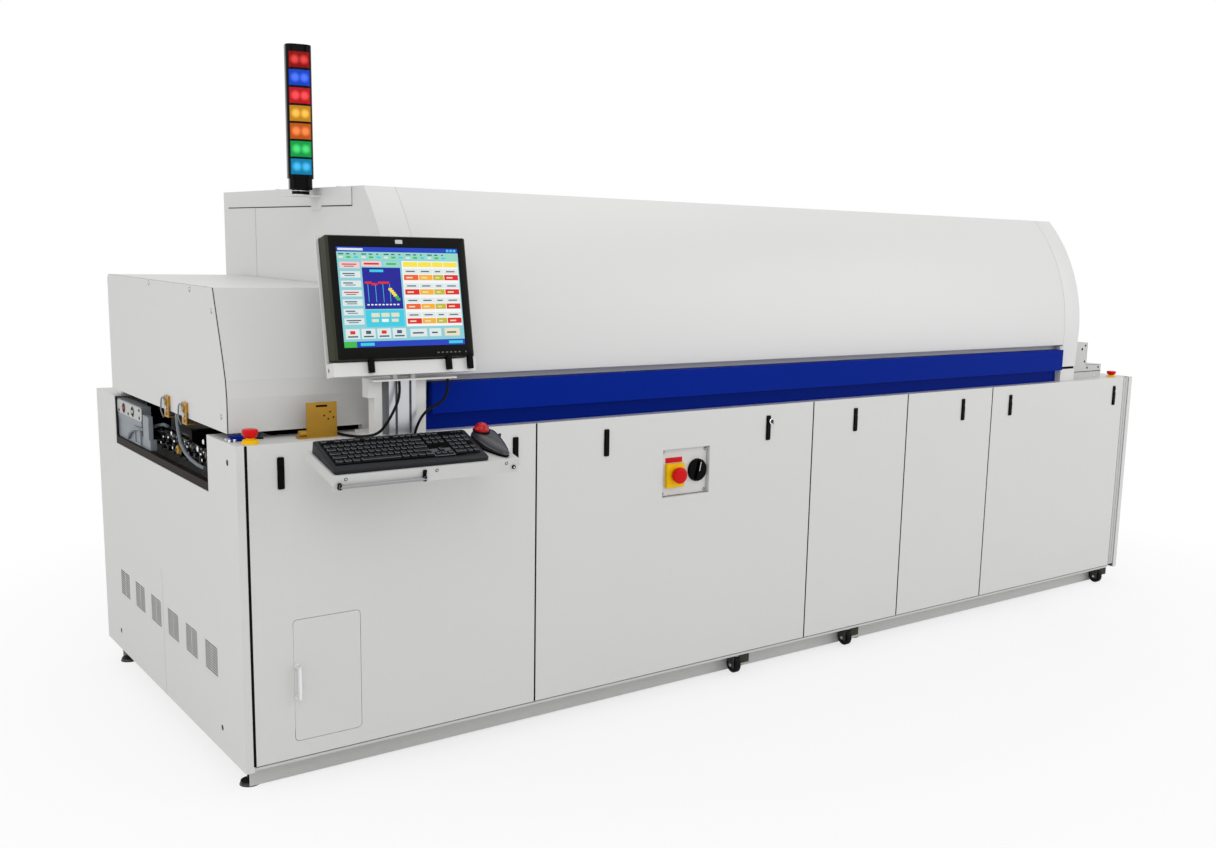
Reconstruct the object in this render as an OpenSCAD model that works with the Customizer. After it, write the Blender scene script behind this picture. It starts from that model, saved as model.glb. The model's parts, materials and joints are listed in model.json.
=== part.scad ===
// Reflow oven: a floor-standing conveyor oven for soldering circuit boards.
// All lengths are millimetres. The working frame has X = 0 at the outer face of the
// left end panel, Y = 0 at the front face of the doors and Z = 0 on the floor. The
// module place() moves it so that the origin is the middle of the footprint.

/* [Cabinet] */
// Length over both end panels
machine_l = 4300; // [4200:10:4600]
// Depth of the end panels
machine_d = 1500; // [1480:10:1620]
// Height of the deck and of the doors' top edge
deck_z = 1013; // [1000:1:1040]
// Height of the end panels' lower edge
panel_z = 74; // [60:1:84]
// Height of the doors' lower edge
door_z = 90; // [86:1:120]
// Thickness of painted sheet
sheet = 2.5; // [1.5:0.5:3]
// Thickness of an end panel over its folded edges
end_t = 25; // [20:1:30]
// Gap between neighbouring panels
seam = 3; // [2:0.5:4]

/* [Doors] */
// Thickness of a door over its folded edges
door_t = 22; // [18:1:26]
// Width of door 1
door_1_w = 919.5; // [880:0.5:960]
// Width of door 2
door_2_w = 1218; // [1180:1:1260]
// Width of door 3
door_3_w = 525.5; // [500:0.5:560]
// Width of door 4
door_4_w = 537; // [510:1:570]
// Grey channel between door 5 and the right end panel
channel_w = 42; // [30:1:60]
// Width of the access door in door 1
access_w = 202; // [180:1:230]
// Height of the access door
access_h = 361; // [330:1:400]
// Corner radius of the access door
access_r = 12; // [6:1:20]
// Width of the switch window in door 2
window_w = 208; // [190:1:230]
// Height of the switch window
window_h = 168; // [150:1:190]

/* [Latches] */
// Height of a latch handle
latch_h = 91; // [80:1:100]
// Width of a latch handle
latch_w = 20; // [16:1:26]
// Radius of a latch spindle
latch_r = 6; // [5:0.5:7]
// Distance of the latch tops below the deck
latch_drop = 38; // [34:1:60]

/* [Hood] */
// Height of the hood's flat top
hood_top = 1732; // [1720:1:1760]
// Distance from the hood to the right end panel
hood_in = 452; // [430:2:480]
// Distance from the left end panel to the hood
hood_x = 473; // [460:1:480]
// Height of the walls between the deck and the hood
tunnel_h = 67; // [61:1:77]
// Depth from the hood's belly to its rear wall
hood_back = 31; // [28:1:50]
// Radius of the curved front
hood_r = 698; // [690:1:720]
// Height where the curved front is upright
belly_z = 1240; // [1230:1:1260]
// Length of the hood's right end cap
cap_l = 111; // [90:1:130]
// Thickness of the hood's sheet
hood_t = 3; // [2:0.5:4]
// Radius of the hood's hinge pins
hinge_r = 6; // [5:0.5:8]

/* [Fascia] */
// Height of the upper blue panel
fascia_h = 92; // [80:1:94]
// Depth of the upper blue panel
fascia_d = 46; // [36:1:48]

/* [Tunnel] */
// Length of the entry cover
entry_l = 458; // [440:1:460]
// Height of the entry cover's top
entry_top = 1431; // [1400:1:1460]
// Gap under the entry cover
entry_gap = 20; // [14:1:28]
// Depth of the notches in the end panels, along Y
notch_w = 1006; // [960:1:1040]
// Height of the left notch
notch_h = 167; // [150:1:180]
// Height of the boards above the floor
board_z = 940; // [936:1:948]
// Number of heating zones
zones = 8; // [6:1:8]
// Board width that the rails are set to
board_w = 280; // [270:1:300]

/* [Conveyor] */
// Width of a conveyor rail
rail_w = 30; // [24:1:36]
// Radius of the lead screw
screw_r = 7; // [6:0.5:8]
// Radius of the chain drive shaft
shaft_r = 8; // [7:0.5:9]

/* [Monitor] */
// Width of the monitor
mon_w = 428; // [400:1:440]
// Height of the monitor
mon_h = 347; // [330:1:360]
// Depth of the monitor
mon_d = 58; // [50:1:60]
// Lean of the monitor in degrees
mon_tilt = 10; // [6:1:11]
// Width of the screen
screen_w = 372; // [340:1:376]
// Height of the screen
screen_h = 279; // [260:1:284]
// Width of the monitor's post over both white channels
post_w = 178; // [170:1:190]

/* [Tray] */
// Width of the keyboard tray
tray_w = 560; // [540:1:600]
// Length of the tray along its slope
tray_d = 175; // [172:1:190]
// Slope of the tray in degrees
tray_slope = 13.5; // [10:0.5:15]
// Height of the tray's front flange
tray_flange = 41; // [30:1:44]
// Width of the keyboard
kb_w = 458; // [440:1:470]
// Length of the keyboard
kb_d = 160; // [150:1:166]
// Radius of the trackball
ball_r = 22; // [20:0.5:24]

/* [Switches] */
// Radius of an emergency stop cap
stop_r = 22; // [18:0.5:24]
// Travel of an emergency stop cap
stop_travel = 5; // [4:0.5:6]
// Radius of the mains dial
dial_r = 41; // [32:1:42]
// Radius of the stop button beside the dial
panel_stop_r = 29; // [22:0.5:31]

/* [Light tower] */
// Width of the light tower
tower_w = 78; // [60:1:86]
// Height of one lamp's window
lamp_h = 48; // [40:1:50]
// Pitch of the lamps
lamp_pitch = 54; // [52:1:58]
// Number of lamps
lamps = 7; // [3:1:7]

/* [Feet] */
// Radius of a levelling foot's pad
foot_r = 30; // [24:1:40]
// Radius of a caster wheel
caster_r = 31; // [26:1:34]

/* [Hidden] */
$fn = 64;

// Shared fits
run_gap = 0.05;        // radial clearance of a shaft in its bore
free_gap = 0.5;        // gap between pieces that pass each other
big = 5000;            // longer than any piece, for cutting

// Doors, from left to right
door_x1 = end_t + seam + 0.5;
door_x2 = door_x1 + door_1_w + seam;
door_x3 = door_x2 + door_2_w + seam;
door_x4 = door_x3 + door_3_w + seam;
door_x5 = door_x4 + door_4_w + seam;
door_end = machine_l - end_t - channel_w - seam;
door_5_w = door_end - door_x5;
door_top = deck_z;
access_x = door_x1 + 117;
access_z = door_z + 50;
window_x = door_x2 + 508;
window_z = door_z + 627;
latch_z = deck_z - latch_drop - latch_h / 2;
latch_pivot = latch_z + latch_h / 2 - 14;   // spindle height

// Frame
tube = 50;
frame_y = door_t + 8;                        // front face of the frame tubes
frame_back = machine_d - 20;                 // rear face of the frame tubes
kick_y = 66;                                 // recessed plinth panel
kick_z = 6;                                  // gap under the plinth panel
deck_t = 3;
deck_flange = 34;
deck_in = 150;                               // width of the front and rear deck plates
post_z = deck_z - deck_t;

// Hood profile, in the Y-Z plane
hood_split = deck_z + tunnel_h;              // parting line under the hood
hood_l = machine_l - hood_x - hood_in;
belly_y = 10;                                // foremost line of the hood
arc_y = belly_y + hood_r;
hood_rear = machine_d - hood_back;
chin_y = 17;                                 // front of the end caps at the parting line
left_cap = 100;                              // length of the hood's left end cap
hood_end = hood_x + hood_l;
hinge_y = hood_rear + 16;
hinge_z = hood_split;
hinge_at = [for (i = [0 : 2]) hood_x + hood_l * (0.1 + 0.4 * i)];
hinge_w = 40;

// Fascia
fascia_x0 = hood_x + left_cap + 10;
fascia_x1 = hood_end - cap_l - 22;
fascia_y = -8;
fascia_z = hood_split - 12;
shell_z = fascia_z + fascia_h + 20;          // lower front edge of the hood shell
strip_y = fascia_y + fascia_d + 4;           // face of the lower blue strip
wall_y = strip_y + sheet;                    // front wall under the hood
wall_z = hood_split - 7;                     // top of the walls under the hood

// Tunnel
notch_y = 247;
notch_y1 = notch_y + notch_w;
notch_z = deck_z - notch_h;
entry_x = 12;
entry_end = entry_x + entry_l;
entry_z = deck_z + entry_gap;
entry_rear = 1320;
entry_front = 107;
entry_lean = 90;                             // run of its sloping front
entry_corner = 14;                           // bevel of its rear top corner
exit_x = hood_end + 3;
exit_y = 60;
exit_y1 = 1300;
exit_low = 270;                              // length of the exit cover's low part
exit_high = 149;                             // length of its high part
exit_step = tunnel_h - 5;                              // height of its low part
exit_h = tunnel_h + 100;                                // height of its high part
zone_pitch = (hood_l - 160) / zones;
zone_gap = 34;
heater_y = 250;
heater_d = 900;
heater_gap = 45;                             // boards to the heaters above
trough_z = 760;
lower_heater_h = 140;
liner_z = hood_split + 170;

// Conveyor
beam_z = 850;
beam_h = 40;
beam_w = 60;
beam_x = [110, machine_l - 110 - beam_w];
rail_z = beam_z + beam_h;
rail_top = board_z + 30;
rail_y = 300;
rail_x0 = 70;
rail_x1 = machine_l - 70;
move_y = rail_y + rail_w + board_w + 8;
screw_x = beam_x[0] + beam_w / 2;
screw_z = rail_z + 14;
shaft_x = 92;
shaft_z = board_z - 25;
sprocket_r = 21;
bearing_y1 = 1190;

// Monitor and post
mon_x = 247;
mon_y = -100;
mon_z = 1244;
mon_piv_y = mon_y + 42;                      // tilt hinge
mon_piv_z = mon_z - 30;
mon_piv_x = 462;
post_x = 361;
post_y = -50;
post_back = -10;
post_top = 1180;
ext_x = post_x + 59;
ext_w = 85;
foot_z = deck_z + 8;

// Tray
tray_x = 155;
tray_y = -285;
tray_z = 964;
tray_piv_y = tray_y + (tray_d + 16) * cos(tray_slope);
tray_piv_z = tray_z + (tray_d + 16) * sin(tray_slope) - 8;
tray_piv_x = 450;
rod_r = 4;
clip_d = 12;                                 // reach of the rod's clips
clip_drop = 21;                              // height of the clips' top below the tray
front_reach = clip_d * cos(tray_slope) - clip_drop * sin(tray_slope);
y_min = tray_y - front_reach;
y_mid = (machine_d + y_min) / 2;

// Switches: centre of each one
left_stop = [52, 36, deck_z];
right_stop = [machine_l - 114, 42, deck_z];
plate_y = frame_y;
panel_face = 15;                             // front of the switch plate
panel_base_w = 76;
panel_base_t = 16;
panel_stop = [window_x + 20 + panel_base_w / 2, panel_face, window_z + window_h / 2 - 6];
dial_at = [window_x + window_w - dial_r - 7, panel_face, window_z + window_h / 2];
stop_base_h = 11;
stop_low_h = 5;
stop_cap_h = 24;
stop_cap_low = 17;
stem_r = 9;
stem_l = 13;
stem_deck = 6;                               // both ends stay above the posts when pressed
stem_low = 1;

// Light tower
tower_x = hood_x - 52;
tower_y = 572;
tower_z = 1706;
tower_h = 457;
tower_round = 26;
tower_turn = -14;

// Cords: points along each route, in the working frame
cable_r = 4;
thin_r = 2.5;
route_a = [[446, -70, 1180], [446, -72, 1166], [444, -76, 1149], [439, -80, 1130],
    [431, -82, 1111], [421, -82, 1092], [410, -80, 1072], [399, -76, 1054],
    [388, -69, 1038], [375, -56, 1027], [359, -37, 1021], [342, -14, 1018],
    [329, 12, 1018], [321, 40, 1018], [318, 70, 1018], [318, 100, 1018],
    [318, 130, 1018]];
route_b = [[600, -70, 1180], [600, -71, 1163], [598, -72, 1147], [592, -74, 1131],
    [580, -76, 1116], [562, -78, 1105], [542, -80, 1097], [524, -82, 1087],
    [510, -83, 1073], [501, -82, 1058], [496, -79, 1044], [493, -76, 1032],
    [492, -74, 1021.2]];
route_t = [[709, -169, 1014.5], [715, -166, 1016], [723, -160, 1017],
    [730, -152, 1015], [734, -144, 1009], [736, -137, 1000], [735, -132, 990],
    [731, -130, 980], [725, -132, 973], [719, -137, 970], [715, -143, 972],
    [714, -149, 977]];
route_n1 = [[6, 1120, 880], [6, 1108, 891], [6, 1085, 906], [6, 1050, 919], [6, 1010, 928],
    [6, 980, 931], [6, 969, 932], [13, 957, 932], [26, 948.5, 935], [40, 932, 942],
    [50, 895, 952],
    [52, 850, 960], [50, 810, 960]];
route_n2 = [[22, 600, 1040], [23, 604, 1020], [26, 611, 990], [30, 613, 960], [34, 607, 930],
    [38, 582, 908], [42, 542, 892], [47, 492, 882], [52, 442, 878]];

// ---- helpers -------------------------------------------------------------------

// Moves the working frame to the middle of the footprint
module place() {
    translate([-machine_l / 2, -y_mid, 0]) children();
}

// Box between two corners
module box(x0, x1, y0, y1, z0, z1) {
    translate([x0, y0, z0]) cube([x1 - x0, y1 - y0, z1 - z0]);
}

// Cylinder along X, Y or Z that starts at p
module rod_x(p, r, l) {
    translate(p) rotate([0, 90, 0]) cylinder(r = r, h = l);
}
module rod_y(p, r, l) {
    translate(p) rotate([-90, 0, 0]) cylinder(r = r, h = l);
}
module rod_z(p, r, l) {
    translate(p) cylinder(r = r, h = l);
}

// Extrudes a Y-Z outline along X, from x0 to x1
module along_x(x0, x1) {
    translate([x0, 0, 0]) rotate([90, 0, 90]) linear_extrude(x1 - x0) children();
}

// Extrudes an X-Z outline along Y, from y0 to y1
module along_y(y0, y1) {
    translate([0, y1, 0]) rotate([90, 0, 0]) linear_extrude(y1 - y0) children();
}

// Rectangle with round corners, its lower left corner at the origin
module round_rect(w, h, r) {
    union() {
        translate([r, 0]) square([w - 2 * r, h]);
        translate([0, r]) square([w, h - 2 * r]);
        for (x = [r, w - r], y = [r, h - r]) translate([x, y]) circle(r);
    }
}

// Open-backed sheet pan that faces -Y
module pan(x, w, z0, z1) {
    difference() {
        box(x, x + w, 0, door_t, z0, z1);
        box(x + sheet, x + w - sheet, sheet, door_t + 1, z0 + sheet, z1 - sheet);
    }
}

// Tube swept along a route, as one polyhedron
function unit(v) = v / norm(v);
function heading(p, i) = unit(p[min(i + 1, len(p) - 1)] - p[max(i - 1, 0)]);
function side_of(t) = unit(cross(t, abs(t[2]) > 0.9 ? [1, 0, 0] : [0, 0, 1]));
function ring(p, i, r, n, s) =
    let (t = heading(p, i), a = unit(s - t * (s * t)), b = cross(t, a))
    [for (k = [0 : n - 1]) p[i] + r * (cos(360 * k / n) * a + sin(360 * k / n) * b)];
function frames(p, i, s) =
    i == len(p) ? [] :
    let (t = heading(p, i), a = unit(s - t * (s * t)))
    concat([a], frames(p, i + 1, a));
module cord(p, r, n = 8) {
    sides = frames(p, 0, side_of(heading(p, 0)));
    rings = [for (i = [0 : len(p) - 1]) each ring(p, i, r, n, sides[i])];
    last = (len(p) - 1) * n;
    walls = [for (i = [0 : len(p) - 2], k = [0 : n - 1])
        let (a = i * n + k, b = i * n + (k + 1) % n) each [[a, b, b + n], [a, b + n, a + n]]];
    start = [for (k = [1 : n - 2]) [0, k + 1, k]];
    end = [for (k = [1 : n - 2]) [last, last + k, last + k + 1]];
    polyhedron(points = rings, faces = [for (f = concat(walls, start, end)) [f[0], f[2], f[1]]]);
}

// ---- cabinet ---------------------------------------------------------------------

post_at = [60, door_x2 - seam / 2 - tube / 2, window_x + window_w / 2 - tube / 2,
    door_x3 - seam / 2 - tube / 2, door_x4 - seam / 2 - tube / 2,
    door_x5 - seam / 2 - tube / 2, machine_l - 60 - tube];

caster_in = kick_y - caster_r - 1;             // clear of the plinth panels
foot_at = [for (x = [44, machine_l * 0.5 + 400, machine_l - 44], y = [102, machine_d - 102]) [x, y]];
caster_x = [machine_l * 0.5 - 305, machine_l * 0.5 + 287, machine_l - 116];
caster_at = [for (x = caster_x, y = [caster_in, machine_d - caster_in]) [x, y]];

// Welded ladder with the recessed plinth panels
module base_frame() {
    color("lightgray") place() {
        box(end_t, machine_l - end_t, frame_y, frame_y + tube, door_z - 4, door_z + tube);
        box(end_t, machine_l - end_t, frame_back - tube, frame_back, door_z - 4, door_z + tube);
        for (x = post_at)
            box(x, x + tube, frame_y + tube, frame_back - tube, door_z - 4, door_z + tube);
        // ledge under the doors
        box(end_t, door_end, 2, kick_y + 6, door_z - 12, door_z - 4);
        // pads of the feet
        for (p = foot_at) {
            front = p[1] < machine_d / 2;
            box(max(end_t, p[0] - 34), min(machine_l - end_t, p[0] + 34),
                front ? frame_y + tube : p[1] - 30, front ? p[1] + 30 : frame_back - tube,
                door_z - 4, door_z + 2);
        }
        // plinth panels
        box(end_t + 6, machine_l - end_t - 6, kick_y, kick_y + sheet, kick_z, door_z - 12);
        box(end_t + 6, machine_l - end_t - 6, machine_d - kick_y - sheet, machine_d - kick_y,
            kick_z, door_z - 4);
    }
}

module frame_posts() {
    color("lightgray") place()
        for (x = post_at, y = [frame_y, frame_back - tube])
            box(x, x + tube, y, y + tube, door_z + tube, post_z);
}

module levelling_feet() {
    color("dimgray") place()
        for (p = foot_at) translate([p[0], p[1], 0]) {
            cylinder(r1 = foot_r, r2 = foot_r - 4, h = 12, $fn = 32);
            cylinder(r = 8, h = door_z - 4, $fn = 24);
            translate([0, 0, 34]) cylinder(r = 13, h = 10, $fn = 6);
        }
}

// Each caster: top plate, fork and wheel, parked just clear of the floor
module caster(top) {
    lift = 3;
    translate([-32, -26, top - 4]) cube([64, 52, 4]);
    difference() {
        translate([-19, -20, lift + caster_r - 9]) cube([38, 40, top - 4 - lift - caster_r + 9]);
        translate([-14, -30, 0]) cube([28, 60, lift + 2 * caster_r + 3]);
    }
    translate([-13, 0, lift + caster_r]) rotate([0, 90, 0]) cylinder(r = caster_r, h = 26);
    translate([-21, 0, lift + caster_r]) rotate([0, 90, 0]) cylinder(r = 5, h = 42);
}

module casters() {
    color("dimgray") place()
        for (p = caster_at) translate([p[0], p[1], 0])
            caster(p[1] < machine_d / 2 ? door_z - 12 : door_z - 4);
}

// One folded end panel, outer face at X = 0, without its cut-outs
module end_pan() {
    difference() {
        box(0, end_t, 0, machine_d, panel_z, deck_z);
        box(sheet, end_t + 1, sheet, machine_d - sheet, panel_z + sheet, deck_z - sheet);
    }
}

vent_pitch = 189;
vent_y = 276;
vent_z = 297;

// Ventilation slots: two columns in each group
module vents() {
    for (g = [0 : 5], col = [-1, 1], row = [0 : 10])
        box(-1, sheet + 1, vent_y + g * vent_pitch + col * 29 - 26.5,
            vent_y + g * vent_pitch + col * 29 + 26.5,
            vent_z + row * 8.2, vent_z + row * 8.2 + 4.6);
}

module left_end_panel() {
    color("whitesmoke") place() difference() {
        end_pan();
        box(-1, end_t + 1, notch_y, notch_y1, notch_z, deck_z + 1);
        vents();
        // seam of the lower service panel
        box(-1, 1, machine_d / 2 + 9, machine_d / 2 + 12, panel_z - 1, 500);
    }
}

module right_end_panel() {
    color("whitesmoke") place() translate([machine_l, 0, 0]) mirror([1, 0, 0]) difference() {
        end_pan();
        box(-1, end_t + 1, notch_y, notch_y1, notch_z + 30, deck_z + 1);
        vents();
    }
}

module rear_panels() {
    rear_w = (machine_l - 2 * end_t - 5 * seam) / 4;
    color("whitesmoke") place()
        for (i = [0 : 3]) translate([0, machine_d - 2, 0]) mirror([0, 1, 0])
            difference() {
                union() {
                    box(end_t + seam + i * (rear_w + seam), end_t + seam + i * (rear_w + seam) + rear_w,
                        0, sheet, door_z, deck_z - 4);
                    box(end_t + seam + i * (rear_w + seam) + 8,
                        end_t + seam + i * (rear_w + seam) + rear_w - 8, sheet, 18, door_z, door_z + 20);
                    box(end_t + seam + i * (rear_w + seam) + 8,
                        end_t + seam + i * (rear_w + seam) + rear_w - 8, sheet, 18, deck_z - 60, deck_z - 44);
                }
                for (row = [0 : 9], col = [0 : 5])
                    box(end_t + seam + i * (rear_w + seam) + 200 + col * 110,
                        end_t + seam + i * (rear_w + seam) + 280 + col * 110,
                        -1, sheet + 1, 300 + row * 16, 307 + row * 16);
            }
}

// Front and rear deck plates with folded inner edges, and the channel beside door 5
module deck() {
    color("whitesmoke") place() {
        difference() {
            union() {
                box(end_t, machine_l - end_t, door_t + 1, deck_in, post_z, deck_z);
                box(end_t, deck_in, deck_in, notch_y, post_z, deck_z);
                box(machine_l - deck_in, machine_l - end_t, deck_in, notch_y, post_z, deck_z);
                box(deck_in, machine_l - deck_in, deck_in - 3, deck_in, deck_z - deck_flange, deck_z);
            }
            for (s = [left_stop, right_stop]) rod_z([s[0], s[1], post_z - 1], stem_r + 2, deck_t + 2);
        }
        box(end_t, machine_l - end_t, machine_d - deck_in, machine_d - 6, post_z, deck_z);
        box(end_t, deck_in, notch_y1, machine_d - deck_in, post_z, deck_z);
        box(machine_l - deck_in, machine_l - end_t, notch_y1, machine_d - deck_in, post_z, deck_z);
        box(deck_in, machine_l - deck_in, machine_d - deck_in, machine_d - deck_in + 3,
            deck_z - deck_flange, deck_z);
        // channel post between door 5 and the right end panel
        box(door_end + seam, machine_l - end_t, door_t + 1, frame_y, door_z, post_z);
    }
}

// Walls that carry the hood, with the white sill at the right front corner
module tunnel_base() {
    rear = hood_rear - 26;
    color("whitesmoke") place() {
        difference() {
            box(hood_x + 3, hood_end - 3, wall_y, rear, deck_z, wall_z);
            box(hood_x + 6, hood_end - 6, wall_y + 3, rear - 3, deck_z - 1, wall_z + 1);
            box(hood_x - 1, hood_end + 1, notch_y, notch_y1, deck_z - 1, wall_z - 12);
        }
        box(hood_end - cap_l + 4, hood_end - 3, chin_y, wall_y, deck_z, wall_z - 4);
        for (x = hinge_at) {
            box(x - hinge_w, x + hinge_w, rear, hinge_y + 8, deck_z, hinge_z - 22);
            difference() {
                union() for (s = [-1, 1]) {
                    rod_x([x + s * hinge_w / 2 + (s < 0 ? -12 : 0), hinge_y, hinge_z], 12, 12);
                    box(x + s * hinge_w / 2 + (s < 0 ? -12 : 0),
                        x + s * hinge_w / 2 + (s < 0 ? -12 : 0) + 12,
                        hinge_y - 8, hinge_y + 8, hinge_z - 24, hinge_z);
                }
            }
            rod_x([x - hinge_w / 2 - 14, hinge_y, hinge_z], hinge_r, hinge_w + 28);
        }
    }
}

// Outline of the entry cover, inset by t
module entry_outline(t) {
    low = entry_z - (t > 0 ? 10 : 0);
    slope = entry_top - entry_z;
    polygon([[entry_front + t, low], [entry_front + t, entry_z + slope * 0.244],
        [entry_front + entry_lean / 15 + t, entry_z + slope * 0.369],
        [entry_front + entry_lean * 0.256 + t, entry_z + slope * 0.515],
        [entry_front + entry_lean + t * 0.8, entry_top - t],
        [entry_rear - entry_corner - t * 0.6, entry_top - t],
        [entry_rear - t, entry_top - entry_corner - t * 0.6], [entry_rear - t, low]]);
}

module entry_cover() {
    color("whitesmoke") place() {
        difference() {
            along_x(entry_x + sheet, entry_end) entry_outline(0);
            along_x(entry_x - 1, entry_end + 1) entry_outline(sheet);
        }
        // feet on the deck
        for (x = [60, entry_end - 60])
            box(x, x + 30, entry_front, entry_front + 27, deck_z, entry_z + 60);
        for (x = [40, 100]) box(x, x + 30, entry_rear - 27, entry_rear, deck_z, entry_z + 60);
    }
}

module entry_end_plate() {
    color("whitesmoke") place() along_x(entry_x, entry_x + sheet) entry_outline(0);
}

// Stepped cover at the exit
module exit_cover() {
    color("gainsboro") place() {
        difference() {
            union() {
                box(exit_x, exit_x + exit_low, exit_y, exit_y1, deck_z, deck_z + exit_step);
                box(exit_x, exit_x + exit_high, exit_y, exit_y1, deck_z + exit_step, deck_z + exit_h);
            }
            box(exit_x - 1, exit_x + exit_low - 3, exit_y + 3, exit_y1 - 3, deck_z - 1,
                deck_z + exit_step - 3);
            box(exit_x - 1, exit_x + exit_high - 3, exit_y + 3, exit_y1 - 3, deck_z - 1,
                deck_z + exit_h - 3);
            // joint between the two halves of the low part
            box(exit_x - 1, exit_x + exit_low + 1, exit_y - 1, exit_y + 1, deck_z + 30, deck_z + 33);
            box(exit_x + exit_low - 1, exit_x + exit_low + 1, exit_y - 1, exit_y1 + 1,
                deck_z + 30, deck_z + 33);
        }
    }
}

module lower_fascia() {
    color("mediumblue") place()
        box(fascia_x0 - 26, hood_end - cap_l, strip_y, wall_y, deck_z, fascia_z - 3);
}

// Trough that hangs in the deck, with a heating module in each zone
module lower_heaters() {
    y1 = machine_d - deck_in;
    color("silver") place() difference() {
        union() {
            difference() {
                box(hood_x + 60, hood_end - 60, deck_in, y1, trough_z - 3, deck_z - 10);
                box(hood_x + 63, hood_end - 63, deck_in + 3, y1 - 3, trough_z, deck_z);
                box(hood_x + 50, hood_end - 50, notch_y, notch_y1 - 20, rail_z - 10, deck_z);
            }
            for (i = [0 : zones - 1]) zone_block(i, 0, trough_z, trough_z + lower_heater_h - 12);
        }
        for (i = [0 : zones - 1]) zone_block(i, 3, trough_z - 4, trough_z + lower_heater_h - 18);
    }
}

// Block of one heating zone, inset by t
module zone_block(i, t, z0, z1) {
    box(hood_x + 80 + i * zone_pitch + zone_gap / 2 + t,
        hood_x + 80 + (i + 1) * zone_pitch - zone_gap / 2 - t,
        heater_y + t, heater_y + heater_d - t, z0, z1);
}

// Cross beams, fixed rail and bearing blocks
module conveyor_frame() {
    color("darkgray") place() difference() {
        union() {
            for (x = beam_x) {
                box(x, x + beam_w, notch_y - 10, notch_y1 + 10, beam_z, rail_z);
                box(x, x + beam_w, notch_y - 10, notch_y - 2, rail_z, post_z);
                box(x, x + beam_w, notch_y1 + 2, notch_y1 + 10, rail_z, post_z);
            }
            box(rail_x0, rail_x1, rail_y, rail_y + rail_w, rail_z, rail_top);
            box(rail_x0, rail_x1, rail_y + rail_w, rail_y + rail_w + 7, board_z - 9, board_z - 3);
            // bearing block for both shafts
            box(rail_x0, beam_x[0] + beam_w, bearing_y1, bearing_y1 + 24, beam_z + 10, rail_z + 44);
        }
        rod_y([screw_x, 0, screw_z], screw_r + run_gap, big);
        rod_y([shaft_x, 0, shaft_z], shaft_r + run_gap, big);
    }
}

// Grooves and holes of the latches, cut in a door
module latch_bore(x) {
    rod_y([x, -1, latch_pivot], latch_r + run_gap, door_t + 2);
}
module latch_boss(x) {
    rod_y([x, sheet, latch_pivot], latch_r + 6, door_t - sheet - 4);
}

// Door pan with the bosses and bores of its latches
module door(x, w, latches) {
    difference() {
        union() {
            pan(x, w, door_z, door_top);
            for (l = latches) latch_boss(l);
        }
        for (l = latches) latch_bore(l);
    }
}

latch_1_x = door_x1 + 93;
latch_2_x = door_x1 + door_1_w - 76;
latch_3_x = door_x2 + 269;
latch_4_x = door_x2 + door_2_w - 228;
latch_5_x = door_x3 + 226;
latch_6_x = door_x4 + 345;
latch_7_x = door_x5 + 124;
latch_8_x = door_end - 77;

module door_1() {
    color("whitesmoke") place() difference() {
        union() {
            door(door_x1, door_1_w, [latch_1_x, latch_2_x]);
            translate([access_x - 12, 0, access_z - 12])
                cube([access_w + 24, door_t - 4, access_h + 24]);
            // fixing lips to the frame
            box(door_x1 + 60, door_x1 + door_1_w - 60, sheet, frame_y, door_z, door_z + 14);
        }
        along_y(-1, door_t + 1) translate([access_x - 1.5, access_z - 1.5])
            round_rect(access_w + 3, access_h + 3, access_r + 1.5);
    }
}

module door_2() {
    color("whitesmoke") place() difference() {
        union() {
            door(door_x2, door_2_w, [latch_3_x, latch_4_x]);
            translate([window_x - sheet, 0, window_z - sheet])
                cube([window_w + 2 * sheet, door_t, window_h + 2 * sheet]);
        }
        translate([window_x, -1, window_z]) cube([window_w, door_t + 2, window_h]);
    }
}

module door_3() {
    color("whitesmoke") place() door(door_x3, door_3_w, [latch_5_x]);
}
module door_4() {
    color("whitesmoke") place() door(door_x4, door_4_w, [latch_6_x]);
}
module door_5() {
    color("whitesmoke") place() door(door_x5, door_5_w, [latch_7_x, latch_8_x]);
}

// Small door with its pull handle; it turns on its right edge
module access_door() {
    color("whitesmoke") place() {
        along_y(0, sheet) translate([access_x, access_z]) round_rect(access_w, access_h, access_r);
        handle_z = access_z + 126;
        handle_h = 104;
        hx = access_x + 9;
        difference() {
            along_y(-24, 0) translate([hx - 5, handle_z]) square([10, handle_h]);
            box(hx - 6, hx + 6, -15, 1, handle_z + 10, handle_z + handle_h - 10);
        }
    }
}

// Latch: handle plate, spindle and cam
module latch(x) {
    cam_l = 34;
    color("black") place() {
        along_y(-7, -free_gap / 2) translate([x - latch_w / 2, latch_z - latch_h / 2])
            round_rect(latch_w, latch_h, 3);
        rod_y([x, -3, latch_pivot], latch_r, door_t + 9);
        box(x - 8, x + 8, door_t + 1, door_t + 5, latch_pivot - cam_l, latch_pivot + 8);
    }
}
module latch_1() { latch(latch_1_x); }
module latch_2() { latch(latch_2_x); }
module latch_3() { latch(latch_3_x); }
module latch_4() { latch(latch_4_x); }
module latch_5() { latch(latch_5_x); }
module latch_6() { latch(latch_6_x); }
module latch_7() { latch(latch_7_x); }
module latch_8() { latch(latch_8_x); }

// Dark edge bar along the bottom of the left notch
module notch_lip() {
    color("saddlebrown") place()
        box(sheet, end_t - 1, notch_y - 2, notch_y1 + 2, notch_z - 6, notch_z + 25);
}

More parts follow.
